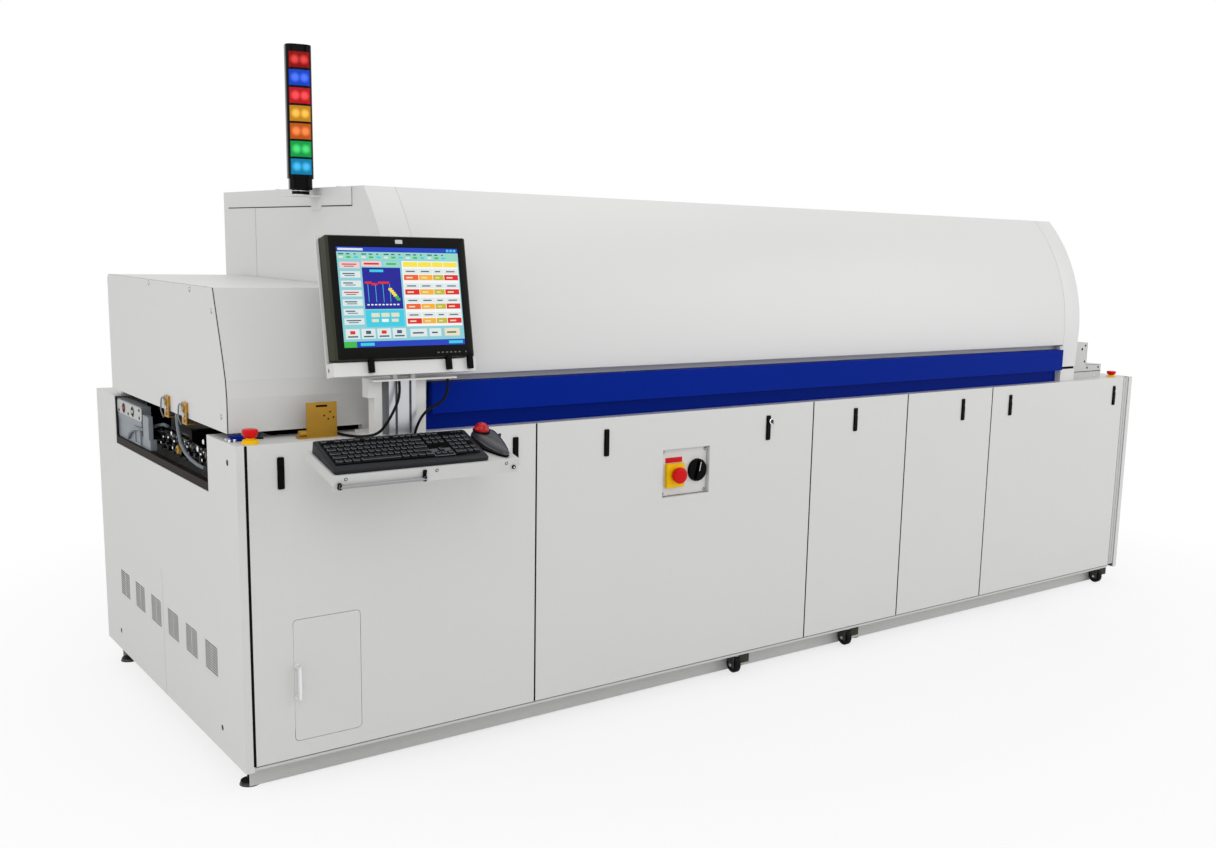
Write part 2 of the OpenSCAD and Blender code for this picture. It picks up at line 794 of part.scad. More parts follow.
// Socket box and cable duct at the rear of the left notch
module junction_box() {
    color("gray") place() {
        difference() {
            box(10, 42, notch_y1 - 292, notch_y1 - 2, deck_z - 74, deck_z - 8);
            for (y = [notch_y1 - 90, notch_y1 - 200]) rod_x([9, y, deck_z - 36], 17, 9);
        }
        box(12, 36, notch_y1 - 280, notch_y1 + 4, notch_z + 25, deck_z - 74);
        box(10, 24, notch_y1 - 376, notch_y1 - 312, notch_z + 60, deck_z - 30);
        box(14, 34, notch_y1 - 376, notch_y1 - 280, notch_z + 25, notch_z + 60);
    }
}

// Two sensor brackets under the entry cover and the plate on the deck
module brass_brackets() {
    color("goldenrod") place() {
        for (y = [448, 628]) {
            box(5, 8, y, y + 44, entry_z - 20, entry_z + 46);
            box(8, entry_x, y, y + 44, entry_z + 16, entry_z + 46);
            box(8, 34, y, y + 44, entry_z - 20, entry_z - 17);
        }
        difference() {
            box(216, 306, 44, 47, deck_z, deck_z + 102);
            box(244, 278, 40, 50, deck_z + 88, deck_z + 94);
        }
        box(216, 306, 47, 76, deck_z, deck_z + 3);
        rod_x([196, 52, deck_z + 14], 9, 20);
        box(192, 216, 40, 66, deck_z, deck_z + 6);
    }
}

// Recessed plate with the panel switches, seen through door 2
module switch_plate() {
    hold = 14;
    x1 = window_x + window_w;
    z1 = window_z + window_h;
    color("whitesmoke") place() difference() {
        union() {
            box(window_x - hold, x1 + hold, plate_y - 3, plate_y, window_z - hold, z1 + hold);
            box(window_x + 3, x1 - 3, panel_face, plate_y, window_z + 3, z1 - 3);
        }
        box(window_x + 6, x1 - 6, panel_face + 3, plate_y + 1, window_z + 6, z1 - 6);
        rod_y([panel_stop[0], panel_face - 1, panel_stop[2]], stem_r + 2, 5);
        rod_y([dial_at[0], panel_face - 1, dial_at[2]], stem_r + run_gap, 5);
    }
}

// Yellow base of an emergency stop, standing on Z = 0
module stop_base(h, r) {
    difference() {
        union() {
            cylinder(r = r, h = h * 0.4);
            cylinder(r = r - 3, h = h);
            cylinder(r = r - 12, h = h + stop_travel);
        }
        translate([0, 0, -1]) cylinder(r = stem_r + run_gap, h = h + stop_travel + 2);
    }
}

module stop_bases() {
    color("gold") place() {
        translate(left_stop) stop_base(stop_base_h, stop_r + 2);
        translate(right_stop) stop_base(stop_low_h, stop_r + 2);
        difference() {
            box(panel_stop[0] - panel_base_w / 2, panel_stop[0] + panel_base_w / 2,
                panel_face - panel_base_t, panel_face,
                panel_stop[2] - panel_base_w * 0.6, panel_stop[2] + panel_base_w / 2);
            rod_y([panel_stop[0], panel_face - 30, panel_stop[2]], stem_r + run_gap, 60);
        }
    }
}

// Red mushroom cap, its stem downwards
module stop_cap(clear, r = stop_r, stem = stem_l, h = stop_cap_h) {
    translate([0, 0, clear]) rotate_extrude() polygon([[0, 6], [r - 8, 6], [r - 8, 0], [r - 4, 0],
        [r, 6], [r, h - 7], [r - 2, h - 3], [r - 6, h], [0, h]]);
    translate([0, 0, -stem]) cylinder(r = stem_r, h = stem + clear + 7);
}

module left_stop_cap() {
    color("red") place() translate(left_stop + [0, 0, stop_base_h])
        stop_cap(stop_travel + 1, stem = stem_deck);
}
module right_stop_cap() {
    color("red") place() translate(right_stop + [0, 0, stop_low_h])
        stop_cap(stop_travel + 1, stem = stem_low, h = stop_cap_low);
}
module panel_stop_cap() {
    color("red") place() translate(panel_stop - [0, panel_base_t, 0])
        rotate([90, 0, 0]) stop_cap(stop_travel + 1, panel_stop_r);
}

// Mains dial: round plate with a grip bar
module mains_dial() {
    face = panel_face - 12;
    color("black") place() {
        rod_y([dial_at[0], face, dial_at[2]], dial_r, 11);
        rod_y([dial_at[0], face + 7, dial_at[2]], stem_r, 20);
        translate([dial_at[0], face, dial_at[2]]) rotate([90, 30, 0])
            translate([-8, -dial_r + 4, 0]) cube([16, 2 * dial_r - 8, 16]);
    }
}

// ---- hood -------------------------------------------------------------------------

// Solid outline of the hood in the Y-Z plane, inset by t
module hood_outline(t, low) {
    union() {
        intersection() {
            translate([arc_y, belly_z]) circle(hood_r - t, $fn = 180);
            translate([belly_y - 5, belly_z]) square([arc_y - belly_y + 5, hood_top - belly_z - t]);
        }
        translate([arc_y - 1, low]) square([hood_rear - arc_y + 1 - t, hood_top - low - t]);
        polygon([[belly_y + t, belly_z + 0.01], [arc_y, belly_z + 0.01], [arc_y, low],
            [chin_y + t, low]]);
    }
}

module hood_shell() {
    x0 = hood_x + left_cap;
    x1 = hood_end - cap_l;
    color("whitesmoke") place() {
        difference() {
            along_x(x0, x1) hood_outline(0, hood_split);
            along_x(x0 - 1, x1 + 1) hood_outline(hood_t, hood_split - 10);
            box(x0 - 1, x1 + 1, -50, heater_y, hood_split - 1, shell_z);
        }
        // folded lower edge and the grey channel behind the blue panel
        box(x0, x1, belly_y + 3, strip_y + 6, shell_z, shell_z + 2);
        box(x0, x1, strip_y + 3, strip_y + 6, hood_split, shell_z);
        for (x = hinge_at) difference() {
            union() {
                rod_x([x - hinge_w / 2 + free_gap, hinge_y, hinge_z], 12, hinge_w - 2 * free_gap);
                box(x - hinge_w / 2 + free_gap, x + hinge_w / 2 - free_gap, hood_rear, hinge_y,
                    hinge_z, hinge_z + 40);
            }
            rod_x([x - big / 2, hinge_y, hinge_z], hinge_r + run_gap, big);
        }
    }
}

// End cap of the hood with its end plate at the given side
module end_cap(x0, x1, plate_x) {
    difference() {
        along_x(x0, x1) hood_outline(0, hood_split);
        along_x(x0 - 1, x1 + 1) hood_outline(hood_t, hood_split - 10);
    }
    difference() {
        along_x(plate_x, plate_x + hood_t) hood_outline(hood_t / 2, hood_split);
        // tunnel mouth
        box(plate_x - 1, plate_x + hood_t + 1, notch_y, notch_y1, hood_split - 1, hood_split + 60);
    }
}

module hood_left_end() {
    lid_z = 1674;
    color("whitesmoke") place() {
        difference() {
            end_cap(hood_x, hood_x + left_cap, hood_x);
            // seams of the lid and of the service cover
            box(hood_x - 1, hood_x + 1, 300, hood_rear - 51, lid_z - 2, lid_z + 2);
            box(hood_x - 1, hood_x + 1, 296, 300, lid_z - 2, hood_top + 1);
            box(hood_x - 1, hood_x + 1, hood_rear - 336, hood_rear - 333, entry_top, lid_z - 2);
        }
        // shelf that carries the light tower
        box(tower_x - 40, hood_x, tower_y - 40, tower_y + 40, tower_z - 4, tower_z);
        box(hood_x - 3, hood_x, tower_y - 40, tower_y + 40, tower_z - 44, tower_z);
    }
}

module hood_right_end() {
    color("whitesmoke") place() end_cap(hood_end - cap_l, hood_end, hood_end - hood_t);
}

module upper_fascia() {
    color("mediumblue") place() {
        difference() {
            box(fascia_x0, fascia_x1, fascia_y, fascia_y + fascia_d, fascia_z, fascia_z + fascia_h);
            box(fascia_x0 + 3, fascia_x1 - 3, fascia_y + 3, fascia_y + fascia_d + 1,
                fascia_z + 3, fascia_z + fascia_h - 3);
        }
        for (i = [0 : 4], x = fascia_x0 + 100 + i * (fascia_x1 - fascia_x0 - 332) / 4)
            box(x, x + 40, fascia_y + 3, strip_y + 3, fascia_z + 20, fascia_z + 60);
    }
}

// Heating modules that hang from the hood's liner
module upper_heaters() {
    color("silver") place() difference() {
        union() {
            box(hood_x + hood_t, hood_end - hood_t, 120, hood_rear - hood_t, liner_z, liner_z + 3);
            for (i = [0 : zones - 1]) zone_block(i, 0, board_z + heater_gap, liner_z);
        }
        for (i = [0 : zones - 1]) zone_block(i, 3, board_z + heater_gap + 6, liner_z + 4);
    }
}

// Turns the lamps towards the operator's end
module tower_frame() {
    translate([tower_x, tower_y, 0]) rotate(tower_turn) translate([-tower_x, -tower_y, 0])
        children();
}

// Cross-section of the light tower
module tower_section(w) {
    round_rect(w, w, tower_round * w / tower_w);
}

module tower_housing() {
    top = tower_z + tower_h;
    w = tower_w;
    first = top - 22;
    color("black") place() tower_frame() {
        rod_z([tower_x, tower_y, tower_z], 27, 17);
        translate([tower_x - w / 2 + 4, tower_y - w / 2 + 4, tower_z + 17])
            linear_extrude(34) tower_section(w - 8);
        difference() {
            translate([tower_x - w / 2, tower_y - w / 2, tower_z + 51])
                linear_extrude(tower_h - 51) tower_section(w);
            for (i = [0 : lamps - 1])
                translate([tower_x - w / 2 + 7, tower_y - w, first - i * lamp_pitch - lamp_h])
                    cube([w - 14, w + 0.5, lamp_h]);
        }
    }
}

module tower_lenses() {
    first = tower_z + tower_h - 22;
    w = tower_w;
    color("tomato") place() tower_frame()
        for (i = [0 : lamps - 1])
            intersection() {
                translate([tower_x - w / 2 + 7 + run_gap, tower_y - w,
                    first - i * lamp_pitch - lamp_h + run_gap])
                    cube([w - 14 - 2 * run_gap, w + 0.5, lamp_h - 2 * run_gap]);
                translate([tower_x - w / 2 + 1.5, tower_y - w / 2 + 1.5, tower_z])
                    linear_extrude(tower_h) tower_section(w - 3);
            }
}

// ---- monitor ------------------------------------------------------------------------

// White channels, foot, head with the tilt pin, and the arm of the tray
module monitor_post() {
    head_x = mon_piv_x;
    color("white") place() {
        difference() {
            union() {
                box(post_x, post_x + 41, post_y, post_back, foot_z, post_top);
                box(post_x + post_w - 34, post_x + post_w, post_y, post_back, foot_z, post_top);
                box(post_x, post_x + post_w, post_back - 4, post_back, foot_z, post_top);
            }
            box(post_x - 1, post_x + 18, post_y - 1, post_back + 1, foot_z - 1, 1131);
        }
        // foot on the deck and cable shelf under the monitor
        box(post_x + 22, hood_x - 5, post_back, 98, deck_z + 0.5, foot_z);
        box(post_x + 22, post_x + post_w, post_y - 34, post_back, deck_z + 0.5, foot_z);
        box(post_x + 22, hood_x - 5, door_t + 1, 98, deck_z, deck_z + 1);
        box(post_x, 624, post_y - 32, post_back, post_top, post_top + 5);
        // ears and pin of the tilt hinge
        for (x = [head_x - 34, head_x + 22]) {
            rod_x([x, mon_piv_y, mon_piv_z], 12, 12);
            box(x, x + 12, mon_piv_y - 12, mon_piv_y + 12, post_top + 5, mon_piv_z);
        }
        rod_x([head_x - 36, mon_piv_y, mon_piv_z], 6, 72);
        // arm, ears and pin of the tray hinge
        box(tray_piv_x - 34, tray_piv_x + 34, tray_piv_y + 12, post_y - 34, deck_z + 0.5, foot_z);
        for (x = [tray_piv_x - 34, tray_piv_x + 22]) {
            rod_x([x, tray_piv_y, tray_piv_z], 11, 12);
            box(x, x + 12, tray_piv_y, post_y - 34, tray_piv_z, foot_z);
        }
        rod_x([tray_piv_x - 36, tray_piv_y, tray_piv_z], 6, 72);
    }
}

// Slotted aluminium profile between the white channels
module post_extrusion() {
    color("silver") place() difference() {
        box(ext_x, ext_x + ext_w, post_y - 8, post_back - 4, foot_z, post_top);
        for (x = [ext_x + ext_w * 0.27, ext_x + ext_w * 0.78]) {
            box(x - 4, x + 4, post_y - 9, post_y + 6, foot_z - 1, post_top + 1);
            box(x - 9, x + 9, post_y - 4, post_y + 4, foot_z - 1, post_top + 1);
        }
    }
}

// Frame whose Z axis leans back with the monitor
module on_monitor() {
    translate([mon_x, mon_y, mon_z]) rotate([-mon_tilt, 0, 0]) children();
}

module monitor_bracket() {
    lip = 42;                                    // rail height below the monitor
    color("white") place() difference() {
        union() {
            on_monitor() {
                translate([-5, mon_d + free_gap, -lip]) cube([mon_w + 10, 4, mon_h + lip + 4]);
                translate([-5, 12, -lip]) cube([mon_w + 10, mon_d - 11, 3]);
                translate([-5, 12, -lip]) cube([mon_w + 10, 3, lip - 4]);
                for (x = [-5, mon_w + 2]) translate([x, 12, -lip]) cube([3, mon_d - 11, lip - 4]);
                translate([mon_piv_x - mon_x - 21, 36, -lip]) cube([42, 18, 22]);
            }
            rod_x([mon_piv_x - 21, mon_piv_y, mon_piv_z], 12, 42);
        }
        rod_x([mon_piv_x - big / 2, mon_piv_y, mon_piv_z], 6 + run_gap, big);
        // room for the ears of the hinge
        for (x = [mon_piv_x - 36, mon_piv_x + 21]) {
            rod_x([x, mon_piv_y, mon_piv_z], 15, 15);
            box(x, x + 15, mon_piv_y - 19, mon_piv_y + 19, post_top - 40, mon_piv_z);
        }
    }
}

module monitor() {
    side = (mon_w - screen_w) / 2;
    low = mon_h - screen_h - 32;
    color([0.1, 0.1, 0.11]) place() on_monitor() {
        difference() {
            rotate([90, 0, 0]) translate([0, 0, -22]) linear_extrude(22) round_rect(mon_w, mon_h, 4);
            translate([side, -1, low]) cube([screen_w, 4, screen_h]);
        }
        translate([1.5, 22, 1.5]) cube([mon_w - 3, mon_d - 22, mon_h - 3]);
        // clips that sit on the bracket's rail
        for (x = [0.24, 0.8, 0.98])
            translate([mon_w * x - 8 - (x > 0.9 ? 8 : 0), 4, -30]) cube([16, 7, 34]);
    }
}

// ---- tray ---------------------------------------------------------------------------

// Frame of the sloping tray: Y runs back along the slope
module on_tray() {
    translate([tray_x, tray_y, tray_z]) rotate([tray_slope, 0, 0]) children();
}

module tray() {
    color("white") place() difference() {
        union() {
            on_tray() {
                translate([0, 0, -2]) cube([tray_w, tray_d, 2]);
                translate([0, 0, -tray_flange]) cube([tray_w, 2, tray_flange]);
                for (x = [0, tray_w - 2]) translate([x, 0, -28]) cube([2, tray_d, 28]);
                translate([0, tray_d - 2, -22]) cube([tray_w, 2, 22]);
                // stay rod in its two clips
                translate([18, -8, -30]) rotate([0, 90, 0]) cylinder(r = rod_r, h = 250);
                for (x = [18, 262])
                    translate([x - 4, -clip_d, -clip_drop - 16]) cube([8, clip_d + 1, 16]);
            }
            rod_x([tray_piv_x - 21, tray_piv_y, tray_piv_z], 11, 42);
            translate([tray_piv_x - 21, tray_piv_y - 18, tray_piv_z - 11]) cube([42, 18, 20]);
        }
        rod_x([tray_piv_x - big / 2, tray_piv_y, tray_piv_z], 6 + run_gap, big);
    }
}

kb_x = 6;
kb_back = 34;
kb_front = 14;

// Keyboard body with blocks of keys
module keyboard() {
    key = 18.6;
    rows = 6;
    key_slope = atan((kb_back - kb_front) / kb_d);
    color([0.13, 0.13, 0.14]) place() on_tray() translate([kb_x, 5, 0]) {
        translate([kb_w, 0, 0]) rotate([0, -90, 0]) linear_extrude(kb_w)
            polygon([[0.3, 0], [0.3, kb_d], [kb_back, kb_d], [kb_front, 0]]);
        translate([0, 0, kb_front]) rotate([key_slope, 0, 0])
            for (r = [0 : rows - 1], c = [0 : 21])
                if (c != 15 && c != 18)
                    translate([16 + c * 19.4, 26 + r * 20.2, -3]) cube([16, 16.5, 10]);
    }
}

tb_x = 515;
tb_y = 60;
tb_w = 86;
tb_ball = [-8, 78, 40];                     // middle of the ball, from [tb_x, tb_y]

module trackball_body() {
    color([0.25, 0.25, 0.27]) place() on_tray() translate([tb_x, tb_y, 0]) difference() {
        union() {
            hull() {
                translate([0, 66, 0.3]) cylinder(r = tb_w / 2, h = 28, $fn = 32);
                translate([12, -22, 0.3]) cylinder(r = tb_w / 3, h = 13, $fn = 32);
            }
            hull() {
                translate([0, 66, 28]) cylinder(r1 = tb_w / 2, r2 = tb_w / 2 - 9, h = 12, $fn = 32);
                translate([8, 10, 13]) cylinder(r1 = tb_w / 3, r2 = tb_w / 4, h = 14, $fn = 32);
            }
        }
        translate(tb_ball) sphere(r = ball_r + free_gap);
    }
}

module trackball_ball() {
    color("red") place() on_tray() translate([tb_x, tb_y, 0] + tb_ball)
        sphere(r = ball_r);
}

// ---- conveyor -----------------------------------------------------------------------

module moving_rail() {
    color("darkgray") place() difference() {
        union() {
            box(rail_x0, rail_x1, move_y, move_y + rail_w, rail_z + free_gap, rail_top);
            box(rail_x0, rail_x1, move_y - 7, move_y, board_z - 9, board_z - 3);
        }
        rod_y([screw_x, 0, screw_z], screw_r + run_gap, big);
        rod_y([shaft_x, 0, shaft_z], shaft_r + run_gap, big);
    }
}

module lead_screw() {
    color("silver") place() {
        rod_y([screw_x, rail_y - 22, screw_z], screw_r, bearing_y1 - rail_y + 50);
        rod_y([screw_x, rail_y - 22, screw_z], screw_r + 5, 21.5);
    }
}

module drive_shaft() {
    color([0.2, 0.2, 0.2]) place() {
        rod_y([shaft_x, rail_y - 30, shaft_z], shaft_r, bearing_y1 - rail_y + 58);
        rod_y([shaft_x, rail_y - 30, shaft_z], sprocket_r, 8);
        rod_y([shaft_x, rail_y - 16, shaft_z], sprocket_r + 8, 8);
    }
}

// ---- cords --------------------------------------------------------------------------

module monitor_cable_a() { color("black") place() cord(route_a, cable_r); }
module monitor_cable_b() { color("black") place() cord(route_b, cable_r); }
module trackball_cable() { color("black") place() cord(route_t, thin_r); }
module notch_cables() {
    color("slategray") place() {
        cord(route_n1, 5.5);
        cord(route_n2, 6);
    }
}

base_frame();
frame_posts();
levelling_feet();
casters();
left_end_panel();
right_end_panel();
rear_panels();
deck();
tunnel_base();
entry_cover();
entry_end_plate();
exit_cover();
lower_fascia();
lower_heaters();
conveyor_frame();
door_1();
notch_lip();
junction_box();
brass_brackets();
switch_plate();
stop_bases();
monitor_post();
post_extrusion();
monitor_cable_a();
monitor_cable_b();
trackball_cable();
notch_cables();
hood_shell();
hood_left_end();
hood_right_end();
upper_fascia();
upper_heaters();
tower_housing();
tower_lenses();
door_2();
door_3();
door_4();
door_5();
access_door();
latch_1();
latch_2();
latch_3();
latch_4();
latch_5();
latch_6();
latch_7();
latch_8();
left_stop_cap();
right_stop_cap();
panel_stop_cap();
mains_dial();
monitor_bracket();
monitor();
tray();
keyboard();
trackball_body();
trackball_ball();
moving_rail();
lead_screw();
drive_shaft();
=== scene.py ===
"""Looks of a floor-standing reflow oven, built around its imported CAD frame.

Lengths in the classes are millimetres of the oven's own working frame: X = 0 at the outer face
of the left end panel, Y = 0 at the front face of the doors and Z = 0 on the floor. Datum turns
them into metres of the shared frame.
"""

import json
import logging
import math
from dataclasses import dataclass, field
from enum import Enum
from typing import Iterable, Iterator, Optional, Sequence

import bmesh
import bpy
from mathutils import Matrix, Vector

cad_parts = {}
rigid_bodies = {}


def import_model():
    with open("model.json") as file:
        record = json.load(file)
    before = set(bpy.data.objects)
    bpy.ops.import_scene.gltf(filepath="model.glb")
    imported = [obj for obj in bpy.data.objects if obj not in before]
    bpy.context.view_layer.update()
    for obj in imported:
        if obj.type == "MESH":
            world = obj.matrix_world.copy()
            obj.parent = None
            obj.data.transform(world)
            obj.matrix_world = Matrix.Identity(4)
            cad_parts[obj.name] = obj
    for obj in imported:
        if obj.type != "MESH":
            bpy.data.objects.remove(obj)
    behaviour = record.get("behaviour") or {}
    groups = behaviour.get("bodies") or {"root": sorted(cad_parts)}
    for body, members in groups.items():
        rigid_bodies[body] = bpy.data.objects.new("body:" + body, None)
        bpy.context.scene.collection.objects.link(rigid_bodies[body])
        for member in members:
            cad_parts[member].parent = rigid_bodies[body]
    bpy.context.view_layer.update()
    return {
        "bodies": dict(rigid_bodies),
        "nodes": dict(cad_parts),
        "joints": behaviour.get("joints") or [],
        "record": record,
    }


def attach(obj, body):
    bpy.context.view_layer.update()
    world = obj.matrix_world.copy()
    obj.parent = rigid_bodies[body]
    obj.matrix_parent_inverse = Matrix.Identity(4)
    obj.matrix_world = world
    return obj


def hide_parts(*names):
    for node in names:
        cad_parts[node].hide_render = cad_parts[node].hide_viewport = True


LOG = logging.getLogger("reflow_oven")
MM = 0.001
WELD = 0.00001
ON_AXIS = 1e-6
CREASE = math.radians(30)
SMOOTH_ANGLE = math.radians(38)

Point = Sequence[float]
Colour = tuple[float, float, float]

LEFT, RIGHT, FRONT, UP = (-1, 0, 0), (1, 0, 0), (0, -1, 0), (0, 0, 1)


def put(name: str, data: object) -> bpy.types.Object:
    """Returns a new object that is linked into the scene."""
    item = bpy.data.objects.new(name, data)
    bpy.context.scene.collection.objects.link(item)
    return item


def circle(sides: int) -> list[tuple[float, float]]:
    """Returns points round a circle of radius 1."""
    turns = [2 * math.pi * k / sides for k in range(sides)]
    return [(math.cos(turn), math.sin(turn)) for turn in turns]


# ---- frame and camera ---------------------------------------------------------------


@dataclass
class Datum:
    """Turns millimetres of the working frame into metres of the shared frame."""

    corner: Vector = field(default_factory=lambda: Vector((-2.15, -0.604117, 0.0)))

    def at(self, x: float, y: float, z: float) -> Vector:
        """Returns the point in metres of the shared frame."""
        return Vector((self.corner.x + x * MM, self.corner.y + y * MM, z * MM))

    def matrix(self) -> Matrix:
        """Returns the matrix from working millimetres to shared metres."""
        return Matrix.Translation(self.at(0, 0, 0)) @ Matrix.Scale(MM, 4)


@dataclass(frozen=True)
class Viewpoint:
    """Camera that sees the oven from its front left corner."""

    place: tuple[float, float, float] = (-1094.879, -3302.105, 1580.734)
    heading: float = 0.662
    rise: float = -0.166
    roll: float = 0.026
    focal_px: float = 1232.573
    frame_px: float = 1216.0
    shift_px: tuple[float, float] = (59.831, 27.426)
    sensor: float = 36.0

    def build(self, datum: Datum) -> bpy.types.Object:
        """Creates the camera and makes it the scene's own.

        Args:
            datum: the working frame.

        Returns:
            The camera object.
        """
        data = bpy.data.cameras.new("viewpoint")
        camera = put("viewpoint", data)
        forward = Vector((
            math.sin(self.heading) * math.cos(self.rise),
            math.cos(self.heading) * math.cos(self.rise),
            math.sin(self.rise),
        ))
        level = forward.cross(Vector(UP)).normalized()
        above = level.cross(forward)
        right = math.cos(self.roll) * level + math.sin(self.roll) * above
        up = math.cos(self.roll) * above - math.sin(self.roll) * level
        turn = Matrix((right, up, -forward)).transposed().to_4x4()
        camera.matrix_world = Matrix.Translation(datum.at(*self.place)) @ turn
        data.sensor_width = self.sensor
        data.lens = self.focal_px / self.frame_px * self.sensor
        data.shift_x = -self.shift_px[0] / self.frame_px
        data.shift_y = self.shift_px[1] / self.frame_px
        data.clip_start, data.clip_end = 0.05, 100.0
        bpy.context.scene.camera = camera
        return camera


# ---- finishes -------------------------------------------------------------------------


def tint(red: int, green: int, blue: int) -> Colour:
    """Turns screen values from 0 to 255 into a linear colour.

    Args:
        red: the red value.
        green: the green value.
        blue: the blue value.

    Returns:
        The linear colour.
    """
    values = [v / 255.0 for v in (red, green, blue)]
    return tuple(v / 12.92 if v <= 0.04045 else ((v + 0.055) / 1.055) ** 2.4 for v in values)


class Graph:
    """Adds shader nodes to a tree and joins them."""

    def __init__(self, tree: bpy.types.NodeTree) -> None:
        """Takes hold of the tree."""
        self.tree = tree

    def add(self, kind: str, out: object, wires: Optional[dict] = None,
            values: Optional[dict] = None, **settings: object) -> bpy.types.NodeSocket:
        """Adds a node.

        Args:
            kind: its type, without the beginning that all of them share.
            out: the name or number of the output that is wanted.
            wires: the name or number of an input, to the output that feeds it.
            values: the name or number of an input, to its value.
            settings: the node's own properties.

        Returns:
            The wanted output.
        """
        node = self.tree.nodes.new("ShaderNode" + kind)
        for name, value in settings.items():
            setattr(node, name, value)
        for key, value in (values or {}).items():
            node.inputs[key].default_value = value
        self.feed(node, wires or {})
        return node.outputs[out]

    def feed(self, node: bpy.types.Node, wires: dict) -> None:
        """Joins outputs to the inputs of a node."""
        for key, socket in wires.items():
            self.tree.links.new(socket, node.inputs[key])

    def fold(self, operation: str, *values: bpy.types.NodeSocket) -> bpy.types.NodeSocket:
        """Returns what one operation makes of several values in turn."""
        total = values[0]
        for value in values[1:]:
            total = self.add("Math", "Value", {0: total, 1: value}, operation=operation)
        return total


class EffectGroups:
    """Shader node groups that several finishes share."""

    def __init__(self) -> None:
        """Builds every group once."""
        self.drift = self._tone_drift()
        self.grain = self._fine_grain()
        self.dust = self._settled_dust()
        self.wear = self._edge_wear()

    @staticmethod
    def _start(name: str, inputs: dict[str, tuple[str, object]],
               outputs: dict[str, str]) -> tuple[Graph, object, bpy.types.Node]:
        """Makes an empty group with its sockets.

        Args:
            name: the group's name.
            inputs: socket name to its type and default.
            outputs: socket name to its type.

        Returns:
            The group's graph, the sockets that its inputs arrive at, and its output node.
        """
        tree = bpy.data.node_groups.new(name, "ShaderNodeTree")
        for label, (kind, default) in inputs.items():
            socket = tree.interface.new_socket(label, in_out="INPUT",
                                               socket_type="NodeSocket" + kind)
            if default is not None:
                socket.default_value = default
        for label, kind in outputs.items():
            tree.interface.new_socket(label, in_out="OUTPUT", socket_type="NodeSocket" + kind)
        given = tree.nodes.new("NodeGroupInput").outputs
        return Graph(tree), given, tree.nodes.new("NodeGroupOutput")

    def _tone_drift(self) -> bpy.types.NodeTree:
        """Returns a group that drifts a colour lighter and darker over the surface."""
        graph, given, out = self._start(
            "tone_drift", {"Vector": ("Vector", None), "Light": ("Color", None),
                           "Deep": ("Color", None), "Scale": ("Float", 2.0)},
            {"Color": "Color", "Value": "Float"})
        noise = graph.add("TexNoise", "Fac", {"Vector": given["Vector"], "Scale": given["Scale"]},
                          {"Detail": 4.0})
        mix = graph.add("Mix", 2, {"Factor": noise, 6: given["Deep"], 7: given["Light"]},
                        data_type="RGBA")
        graph.feed(out, {"Color": mix, "Value": noise})
        return graph.tree

    def _fine_grain(self) -> bpy.types.NodeTree:
        """Returns a group with the height and roughness of a fine moulded or sprayed grain."""
        graph, given, out = self._start(
            "fine_grain", {"Vector": ("Vector", None), "Scale": ("Float", 400.0),
                           "Stretch": ("Vector", (1.0, 1.0, 1.0)),
                           "Low": ("Float", 0.4), "High": ("Float", 0.5)},
            {"Height": "Float", "Roughness": "Float"})
        stretched = graph.add("VectorMath", "Vector", {0: given["Vector"], 1: given["Stretch"]},
                              operation="MULTIPLY")
        noise = graph.add("TexNoise", "Fac", {"Vector": stretched, "Scale": given["Scale"]},
                          {"Detail": 3.0})
        rough = graph.add("MapRange", "Result",
                          {"Value": noise, "To Min": given["Low"], "To Max": given["High"]})
        graph.feed(out, {"Height": noise, "Roughness": rough})
        return graph.tree

    def _settled_dust(self) -> bpy.types.NodeTree:
        """Returns a group with a mask of dust on faces that look up."""
        graph, given, out = self._start(
            "settled_dust", {"Vector": ("Vector", None), "Amount": ("Float", 0.2)},
            {"Mask": "Float"})
        upward = graph.add("SeparateXYZ", "Z", {"Vector": graph.add("NewGeometry", "Normal")})
        slope = graph.add("MapRange", "Result", {"Value": upward}, {"From Min": 0.6})
        noise = graph.add("TexNoise", "Fac", {"Vector": given["Vector"]},
                          {"Scale": 24.0, "Detail": 6.0})
        graph.feed(out, {"Mask": graph.fold("MULTIPLY", slope, noise, given["Amount"])})
        return graph.tree

    def _edge_wear(self) -> bpy.types.NodeTree:
        """Returns a group with a mask of rubbed edges, broken up by noise."""
        graph, given, out = self._start(
            "edge_wear", {"Vector": ("Vector", None), "Amount": ("Float", 0.3),
                          "Scale": ("Float", 60.0)}, {"Mask": "Float"})
        edge = graph.add("MapRange", "Result", {"Value": graph.add("NewGeometry", "Pointiness")},
                         {"From Min": 0.52, "From Max": 0.62})
        noise = graph.add("TexNoise", "Fac", {"Vector": given["Vector"], "Scale": given["Scale"]},
                          {"Detail": 5.0})
        graph.feed(out, {"Mask": graph.fold("MULTIPLY", edge, noise, given["Amount"])})
        return graph.tree


